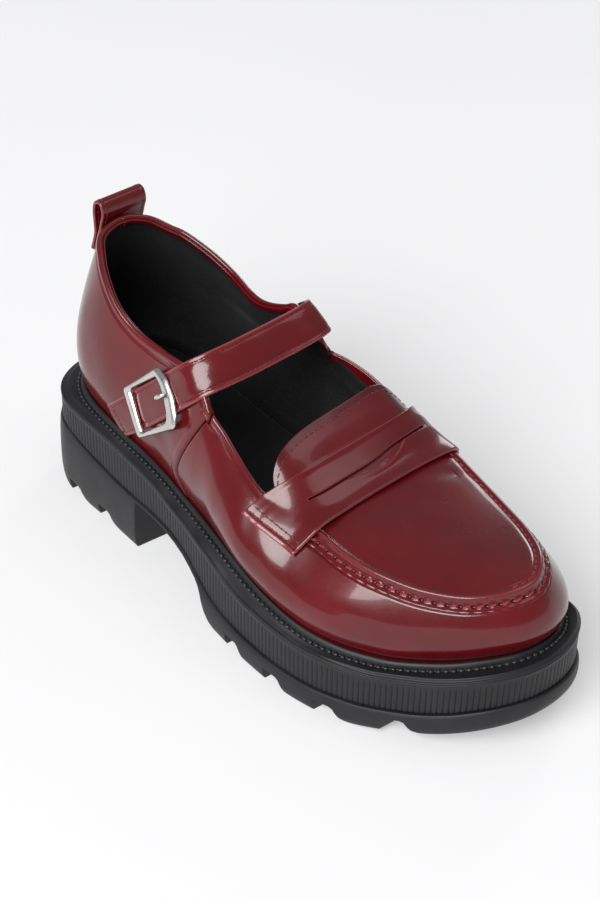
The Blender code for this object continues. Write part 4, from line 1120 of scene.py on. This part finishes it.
def build_insole():
    """A black footbed, bare, a little dished, with a rounded edge."""
    count, half = 420, 210
    loop, out = ring(FEATHER, count)
    rows = swept(loop, out, [(growth, TOP_OF_EDGE, rise, 0) for growth, rise in INSOLE_EDGE])
    left, right = rows[-1, : half + 1], np.roll(rows[-1], -1, axis=0)[half - 1 :][::-1]
    across = np.linspace(0, 1, 40)
    plug = left[:, None] + (right - left)[:, None] * across[:, None]
    plug[..., 2] -= relief(plug[..., 0], DISHES) * np.sin(pi * across)
    shape = Shape().grid(rows, round_columns=True).grid(plug)
    build("insole_look", shape, INSOLE, "insole", weld=0.02)


# ---------------------------------------------------------------- welt, ribbed platform, lugs
WELT_WIDE = 7.4
NARROWEST = 0.66  # the least share of their growth that the welt's rows keep
BEAD_PITCH = 2.85
RIB_PITCH = 2.2
RIB_DEEP = 0.38
RIB_STEPS = 8
# growth past the edge line, rise over the top of the ribbed edge, share of the rim's rise, rise at the toe
WELT_RIM = (
    (-3.2, -0.2, 1, 0), (-0.9, -0.15, 1, 0), (-0.25, -0.1, 1, 0), (0, 0.1, 1, 0), (0.02, 0.5, 1, 0),
    (-0.25, 0.75, 1, 0), (-0.8, 0.95, 1, 0.1), (-1.15, 1.1, 0.95, 0.9), (-1.5, 1.3, 0.9, 1.15),
    (-2.2, 1.65, 0.75, 1), (-2.9, 2.1, 0.6, 0.6), (-3.5, 2.6, 0.4, 0.3),
)
# growth past the feather line, rise: the bead's bed, one round ridge, and down the inside
WELT_RIDGES = (
    (3.7, 2.9), (3.2, 2.85), (2.75, 3.1), (2.5, 3.9), (2.2, 4.7), (1.75, 5.35), (1.2, 5.7), (0.7, 5.7),
    (0.3, 5.4), (0.05, 4.9), (-0.1, 4.2), (0.3, 2), (0.3, -0.2),
)
BEAD_BED = (3.3, 3.35)  # growth and rise of the beads' middles
# growth past the edge line, column of the sole's heights, rise, how much the ribs show, share of the rim's
# rise, how much painted shade falls in the hollows between the ribs
MIDSOLE = (
    (-6, 1, 0.3, 0, 0, 0), (-0.9, 1, 0.3, 0, 0, 1), (-0.45, 1, 0.45, 0.6, 0, 1), (-0.28, 1, 0.8, 1, 0, 1),
    (-0.25, 1, 1.4, 1, 0, 1), (-0.25, 1, 3.4, 1, 0, 1), (-0.25, 0, -4.2, 1, 1, 1),
    (-0.25, 0, -2.9, 1, 1, 1), (-0.22, 0, -2.2, 0.7, 1, 1), (-0.12, 0, -1.6, 0.12, 1, 1),
    (-0.06, 0, -1.2, 0, 1, 0), (-0.02, 0, -0.75, 0, 1, 0), (-0.06, 0, -0.42, 0, 1, 0),
    (-0.3, 0, -0.25, 0, 1, 1), (-6, 0, -0.25, 0, 1, 0),
)
# growth past the edge line, share of the height from the floor to the foot of the ribs
OUTSOLE = (
    (-2, -0.15), (0, -0.02), (0.6, 0.05), (1.05, 0.12), (1.4, 0.25), (1.5, 0.4), (1.42, 0.6), (1.25, 0.8),
    (0.95, 0.92), (0.45, 0.985), (-0.2, 1),
)


def build_welt():
    """The welt between the ribbed edge and the upper, and the row of beads on it."""
    count, fine = 900, 4000
    edge, edge_out = ring(EDGE, count)
    feather = ring_line(FEATHER)
    # the feather point that goes with each point of the edge: the nearest one across the welt
    dense = feather.at(np.linspace(0, 1, fine))
    nearest = np.array([((dense - point) ** 2).sum(axis=1).argmin() for point in edge])
    share = np.unwrap(nearest * tau / fine) / tau
    share = blurred(np.r_[share - 1, share, share + 1][:, None], 8, 0)[count : 2 * count, 0]
    foot = feather.at(share % 1.0)
    foot_out = outward(foot)
    foot_out = unit(foot_out + np.roll(foot_out, 3, axis=0) + np.roll(foot_out, -3, axis=0))
    # where the welt is narrow its rows draw closer together
    room = np.clip(np.linalg.norm((edge - foot)[:, :2], axis=1) / WELT_WIDE, NARROWEST, 1.0)
    at_toe = step_up(56.0, 96.0, edge[:, 0])
    rim = [
        (growth * (room if growth < -1 else 1.0), TOP_OF_EDGE, rise + toe * at_toe, share)
        for growth, rise, share, toe in curve(WELT_RIM, 3)
    ]
    ridges = [(growth * room, TOP_OF_EDGE, rise, 0) for growth, rise in (*curve(WELT_RIDGES, 3), BEAD_BED)]
    ridges = swept(foot, foot_out, ridges)
    grid = np.vstack([swept(edge, edge_out, rim), ridges[:-1]])
    shape = Shape().grid(grid, round_rows=True, round_columns=True)
    build("welt_look", shape, RUBBER, "welt", sharp=75)

    loop = np.vstack([ridges[-1], ridges[-1, :1]])
    run = run_of(loop)
    number = int(run[-1] / BEAD_PITCH)
    places = np.arange(number) * run[-1] / number
    ahead, behind, places = (read(places + step, run, loop) for step in (0.4, -0.4, 0.0))
    beads = scatter(Shape(), places, ahead - behind, np.array((0.0, 0.0, 1.0)), (2.15, 1.75, 1.5))
    # the beads' rubber is glossier and painted lighter: a painted highlight
    build("welt_beads", beads, RUBBER_GLOSSY_LIT, None, sharp=180)


def build_midsole():
    """The platform's band of upright ribs, turned in at its foot, with a thin plain lip at its top."""
    count = int(round(ring_line(EDGE).total / RIB_PITCH)) * RIB_STEPS
    loop, out = ring(EDGE, count)
    rib = np.sqrt(np.sin(pi * (np.arange(count) % RIB_STEPS) / RIB_STEPS)) - 0.85
    rib = rib * (0.25 + 0.75 * step_up(-127.0, -118.0, loop[:, 0]))
    rows = [
        (growth + ribbed * RIB_DEEP * rib, column, rise, share)
        for growth, column, rise, ribbed, share, _ in MIDSOLE
    ]
    # painted shade in the hollows between the ribs
    tone = -0.7 * np.clip(-rib - 0.2, 0, 1) * np.array(MIDSOLE)[:, 5:]
    shape = Shape().grid(swept(loop, out, rows), tone, round_columns=True)
    build("midsole_look", shape, RUBBER, "midsole", sharp=75)


def spring(x):
    """How far the toe has lifted off the floor at x."""
    share = np.maximum(np.asarray(x) - SPRING_FROM, 0.0) / (SPRING_TO[0] - SPRING_FROM)
    return SPRING_TO[1] * share**1.6


def ground_profile():
    """The underside of the sole as one side view: heel lugs, arch, forepart lugs, toe spring."""
    heel, forepart = (
        [(end + ahead, height) for end in ends for ahead, height in GROOVE]
        for ends in (HEEL_LUG_ENDS, FOREPART_LUG_ENDS)
    )
    toe = [(x, 0.0) for x in (110.0, 115.0, 120.0, 126.0, 132.0, 142.0)]
    line = [*HEEL_BACK, *heel, (BREAST, 0.0), *ARCH, *forepart, *toe]
    line = [(x, height + float(spring(x))) for x, height in line]
    return line + [(line[end][0], BELOW) for end in (-1, 0)]


def build_outsole():
    """The black outsole: a rounded block, cut from below by the ground's profile on the skew."""
    count, half = 360, 180
    loop, out = ring(EDGE, count)
    rows = []
    for growth, share in OUTSOLE:
        grown = loop + growth * out
        floor = spring(grown[:, 0])
        grown[:, 2] = floor + share * (sole_height(grown, FOOT_OF_EDGE) - floor)
        rows.append(grown)
    faces = cells_of((len(rows), count), round_columns=True).reshape(-1, 4).tolist()
    middle = [(at, at + 1, count - at - 1, count - at) for at in range(1, half - 1)]
    cap = [(0, 1, count - 1), *middle, (half - 1, half, half + 1)]
    for first, turn in ((0, -1), ((len(rows) - 1) * count, 1)):
        faces += [[first + corner for corner in face[::turn]] for face in cap]
    body = mesh_object("outsole_look", np.vstack(rows), faces)

    profile = ground_profile()
    number = len(profile)
    points = [(x, side * CUT_REACH, z) for side in (-1, 1) for x, z in profile]
    faces = [tuple(range(number)), tuple(range(2 * number - 1, number - 1, -1))]
    faces += [(at, number + at, number + (at + 1) % number, (at + 1) % number) for at in range(number)]
    cutter = mesh_object("ground", points, faces)
    cutter.rotation_euler.z = -LUG_SKEW
    cut = body.modifiers.new("cut", "BOOLEAN")
    cut.operation = "DIFFERENCE"
    cut.solver = "EXACT"
    cut.object = cutter
    bevel = body.modifiers.new("soft edges", "BEVEL")
    bevel.width = 0.45 * MM
    bevel.segments = 2
    bevel.limit_method = "ANGLE"
    bevel.angle_limit = radians(50)
    bpy.context.view_layer.update()
    graph = bpy.context.evaluated_depsgraph_get()
    mesh = bpy.data.meshes.new_from_object(body.evaluated_get(graph))
    body.modifiers.clear()
    body.data = mesh
    bpy.data.objects.remove(cutter)
    mesh.materials.clear()
    ride(body, (RUBBER,), "outsole", 32)


# ---------------------------------------------------------------- materials
class Nodes:
    """A material's node tree, built a node at a time."""

    def __init__(self, name):
        self.material = bpy.data.materials.new(name)
        self.material.use_nodes = True
        self.tree = self.material.node_tree
        self.shader = self.tree.nodes["Principled BSDF"]
        self.place = self.new("ShaderNodeTexCoord").outputs["Object"]

    def new(self, kind, **values):
        node = self.tree.nodes.new(kind)
        for name, value in values.items():
            setattr(node, name, value)
        return node

    def feed(self, socket, value):
        """Give a socket a number, a colour or another node's output."""
        if isinstance(value, bpy.types.NodeSocket):
            self.tree.links.new(value, socket)
        else:
            socket.default_value = value

    def add(self, kind, output, inputs, **values):
        """The output of a new node whose inputs are given by name or number."""
        node = self.new(kind, **values)
        for socket, value in inputs.items():
            self.feed(node.inputs[socket], value)
        return node.outputs[output]

    def noise(self, scale, detail=3.0, rough=0.55, stretch=None):
        place = self.place
        if stretch:
            place = self.add("ShaderNodeMapping", "Vector", {"Scale": stretch, "Vector": place})
        inputs = {"Scale": scale, "Detail": detail, "Roughness": rough, "Vector": place}
        return self.add("ShaderNodeTexNoise", "Fac", inputs)

    def cells(self, scale):
        return self.add("ShaderNodeTexVoronoi", "Distance", {"Scale": scale, "Vector": self.place})

    def ramp(self, value, start=0.0, end=1.0, low=0.3, high=0.7):
        """A value between low and high as one between start and end."""
        inputs = {"From Min": low, "From Max": high, "To Min": start, "To Max": end, "Value": value}
        return self.add("ShaderNodeMapRange", "Result", inputs)

    def mix(self, share, *colours):
        first, second = ((*colour, 1.0) if isinstance(colour, tuple) else colour for colour in colours)
        return self.add("ShaderNodeMix", 2, {6: first, 7: second, 0: share}, data_type="RGBA")

    def sum(self, first, second):
        return self.add("ShaderNodeMath", 0, {0: first, 1: second}, operation="ADD")

    def shaded(self, colour, dark, light=None):
        """A colour that goes light where the mesh's tone is above 0, and dark where it is below: the tone
        paints highlights and shade into the colour.
        """
        tone = self.new("ShaderNodeAttribute", attribute_name="tone").outputs["Fac"]
        if light:
            colour = self.mix(self.ramp(tone, low=0.0, high=1.0), colour, light)
        return self.mix(self.ramp(tone, low=0.0, high=-1.0), colour, dark)

    def surface(self, colour, rough, bumps, **values):
        """The finished material: bumps are heights in millimetres, one on another."""
        self.feed(self.shader.inputs["Base Color"], colour)
        self.feed(self.shader.inputs["Roughness"], rough)
        last = {}
        for height, depth in bumps:
            inputs = {"Strength": 1.0, "Distance": depth * MM, "Height": height, **last}
            last = {"Normal": self.add("ShaderNodeBump", "Normal", inputs)}
        if last:
            self.feed(self.shader.inputs["Normal"], last["Normal"])
        for name, value in values.items():
            name = name.replace("_", " ").title().replace("Ior", "IOR")
            self.shader.inputs[name].default_value = value
        return self.material


def leather(name, dark, middle, light, low, high):
    """Polished box leather: cloudy dye, fine pores; the tone paints lighter edges (partly wear, partly
    painted highlight), a painted highlight on the crest and painted shade in seams and holes.
    """
    made = Nodes(name)
    colour = made.mix(made.ramp(made.noise(28.0, 4.0)), dark, middle)
    # painted shade: a near-black copy of the dark colour where the tone is below 0; painted highlight: the
    # light colour where it is above
    colour = made.shaded(colour, tuple(0.12 * c for c in dark), light)
    grain = made.noise(900.0, 3.0, 0.6)
    rough = made.sum(made.ramp(made.noise(45.0), low, high), made.ramp(grain, -0.03, 0.03))
    fine = (made.cells(1500.0), 0.003), (grain, 0.004)
    soft = (made.noise(140.0, 2.0), 0.025), (made.noise(30.0, 2.0), 0.10)
    looks = {"coat_weight": 0.34, "coat_roughness": 0.055, "specular_ior_level": 0.36}
    return made.surface(colour, rough, fine + soft, **looks)


def thread(name, dark, light):
    """Waxed thread: a fine twist in its height and a little in its colour."""
    made = Nodes(name)
    twist = made.noise(1600.0, 2.0, 0.5, (1.0, 1.0, 2.5))
    colour = made.mix(made.ramp(twist, low=0.35, high=0.65), dark, light)
    rough = made.ramp(twist, 0.38, 0.55)
    return made.surface(colour, rough, [(twist, 0.06)], sheen_weight=0.1, specular_ior_level=0.25)


def rubber(name, dark, light, low, high):
    """Moulded rubber: a fine even grain, faint dust and smoother worn places, and painted shade where the
    tone is below 0.
    """
    made = Nodes(name)
    cloud = made.ramp(made.noise(60.0, 4.0))
    # painted shade: a near-black copy of the dark colour where the tone is below 0
    colour = made.shaded(made.mix(cloud, dark, light), tuple(0.15 * c for c in dark))
    grain = made.noise(2200.0, 3.0, 0.6)
    rough = made.sum(made.ramp(cloud, low, high, 0.0, 1.0), made.ramp(grain, -0.05, 0.05))
    bumps = (grain, 0.035), (made.noise(300.0, 2.0), 0.03)
    return made.surface(colour, rough, bumps, specular_ior_level=0.30)


def lining(name, dark, light, scale):
    """Black leather lining with a pebbled grain."""
    made = Nodes(name)
    grain, soft = made.cells(scale), made.noise(70.0, 4.0)
    colour = made.mix(made.ramp(soft), dark, light)
    rough = made.ramp(grain, 0.48, 0.68, 0.0, 0.6)
    bumps = (grain, 0.05), (soft, 0.12)
    return made.surface(colour, rough, bumps, sheen_weight=0.05, specular_ior_level=0.30)


def nickel(name):
    """Satin nickel: a fine brushed grain, slightly uneven tarnish."""
    made = Nodes(name)
    brushed, cloud = made.noise(900.0, 3.0, 0.6, (1.0, 1.0, 0.08)), made.noise(90.0)
    colour = made.mix(made.ramp(cloud), (0.56, 0.54, 0.51), (0.68, 0.66, 0.63))
    rough = made.sum(made.ramp(cloud, 0.22, 0.32), made.ramp(brushed, -0.06, 0.06))
    return made.surface(colour, rough, ((brushed, 0.015), (made.noise(260.0, 2.0), 0.02)), metallic=1.0)


# the light colour (0.30, 0.060, 0.065) is the painted highlight of edges and crest; the tone's dark side is
# painted shade
LEATHER = leather(
    "oxblood box leather", (0.070, 0.0014, 0.0030), (0.105, 0.0026, 0.0050), (0.30, 0.060, 0.065), 0.19, 0.27
)
CUT_EDGE = leather(
    "cut edge of the leather", (0.16, 0.030, 0.034), (0.24, 0.060, 0.062), (0.45, 0.19, 0.18), 0.45, 0.6
)
# dark bodies set in holes: painted shade inside them
HOLE_SHADE = leather(
    "painted shade inside a hole", (0.040, 0.0024, 0.0036), (0.060, 0.0036, 0.0050), (0.08, 0.01, 0.01), 0.6, 0.8
)
THREAD = thread("red waxed thread", (0.11, 0.006, 0.010), (0.26, 0.035, 0.040))
THREAD_DARK = thread("dark red waxed thread", (0.075, 0.004, 0.007), (0.15, 0.014, 0.018))
RUBBER = rubber("black rubber", (0.009, 0.009, 0.010), (0.015, 0.015, 0.017), 0.40, 0.54)
# the beads' rubber: glossier, and painted lighter as a highlight
RUBBER_GLOSSY_LIT = rubber("black rubber of the beads, glossy and painted lighter", (0.014, 0.014, 0.015), (0.024, 0.024, 0.026), 0.22, 0.35)
LINING = lining("black lining", (0.0018, 0.0018, 0.0020), (0.004, 0.004, 0.0045), 900.0)
INSOLE = lining("black insole", (0.002, 0.002, 0.0023), (0.0045, 0.0045, 0.005), 1300.0)
NICKEL = nickel("satin nickel")
CUT_LEATHER = (LEATHER, CUT_EDGE, LINING)

build_quarter(OUTER, "quarter_outer")
build_quarter(INNER, "quarter_inner")
build_vamp()
build_apron()
build_tongue()
build_saddle()
build_strap()
build_buckle()
build_pull_loop()
build_lining()
build_insole()
build_welt()
build_midsole()
build_outsole()


# ---------------------------------------------------------------- floor, light and camera
def build_stage():
    """A pale floor, wide enough to fill the view."""
    shape = bmesh.new()
    bmesh.ops.create_grid(shape, x_segments=8, y_segments=8, size=3.0)
    mesh = bpy.data.meshes.new("floor")
    shape.to_mesh(mesh)
    shape.free()
    made = Nodes("pale floor")
    colour = made.mix(made.ramp(made.noise(3.0)), (0.49, 0.49, 0.495), (0.51, 0.51, 0.515))
    looks = {"specular_ior_level": 0.2, "emission_color": (1.0, 1.0, 1.0, 1.0), "emission_strength": 0.33}
    mesh.materials.append(made.surface(colour, 0.8, (), **looks))
    link("floor", mesh)


def look(made, place, target, turn=0.0):
    """Stand a lamp or the camera at a place, facing a target."""
    facing = (target - place).to_track_quat("-Z", "Y").to_matrix() @ Matrix.Rotation(turn, 3, "Z")
    made.matrix_world = Matrix.Translation(place) @ facing.to_4x4()


LIT = Vector((0.0, 0.0, 0.06))  # the lamps face this point


def build_lights():
    """A soft window on the outer side, with a little light from above and from the inner side."""
    world = bpy.data.worlds.new("studio")
    world.use_nodes = True
    world.node_tree.nodes["Background"].inputs["Color"].default_value = (0.95, 0.96, 1.0, 1.0)
    world.node_tree.nodes["Background"].inputs["Strength"].default_value = 0.31
    bpy.context.scene.world = world
    bpy.context.scene.view_settings.view_transform = "Standard"
    for name, place, width, height, power in (
        ("outer side", (0.60, -2.245, 2.01), 2.3, 1.85, 138.0),
        ("overhead", (0.6, 0.9, 2.6), 1.6, 1.2, 8.0),
        ("inner side", (-0.87, 2.15, 1.0), 0.5, 0.9, 9.0),
    ):
        light = bpy.data.lights.new(name, "AREA")
        light.shape = "RECTANGLE"
        light.size = width
        light.size_y = height
        light.energy = power
        look(link(name, light), Vector(place), LIT)


CAMERA_AT = Vector((440.1, -416.75, 516.0)) * MM
CAMERA_TURN = radians(1.49)


def build_camera():
    """An upright frame, aimed at the middle of the solids."""
    data = bpy.data.cameras.new("camera")
    data.sensor_fit = "VERTICAL"
    data.sensor_height = 36.0
    data.sensor_width = 24.0
    data.lens = 76.0
    data.clip_end = 50.0
    bpy.context.scene.camera = link("camera", data)
    low, high = (Vector(corner) for corner in CAD_BOX)
    look(bpy.context.scene.camera, CAMERA_AT, (low + high) / 2, CAMERA_TURN)


build_stage()
build_lights()
build_camera()

bpy.context.view_layer.update()
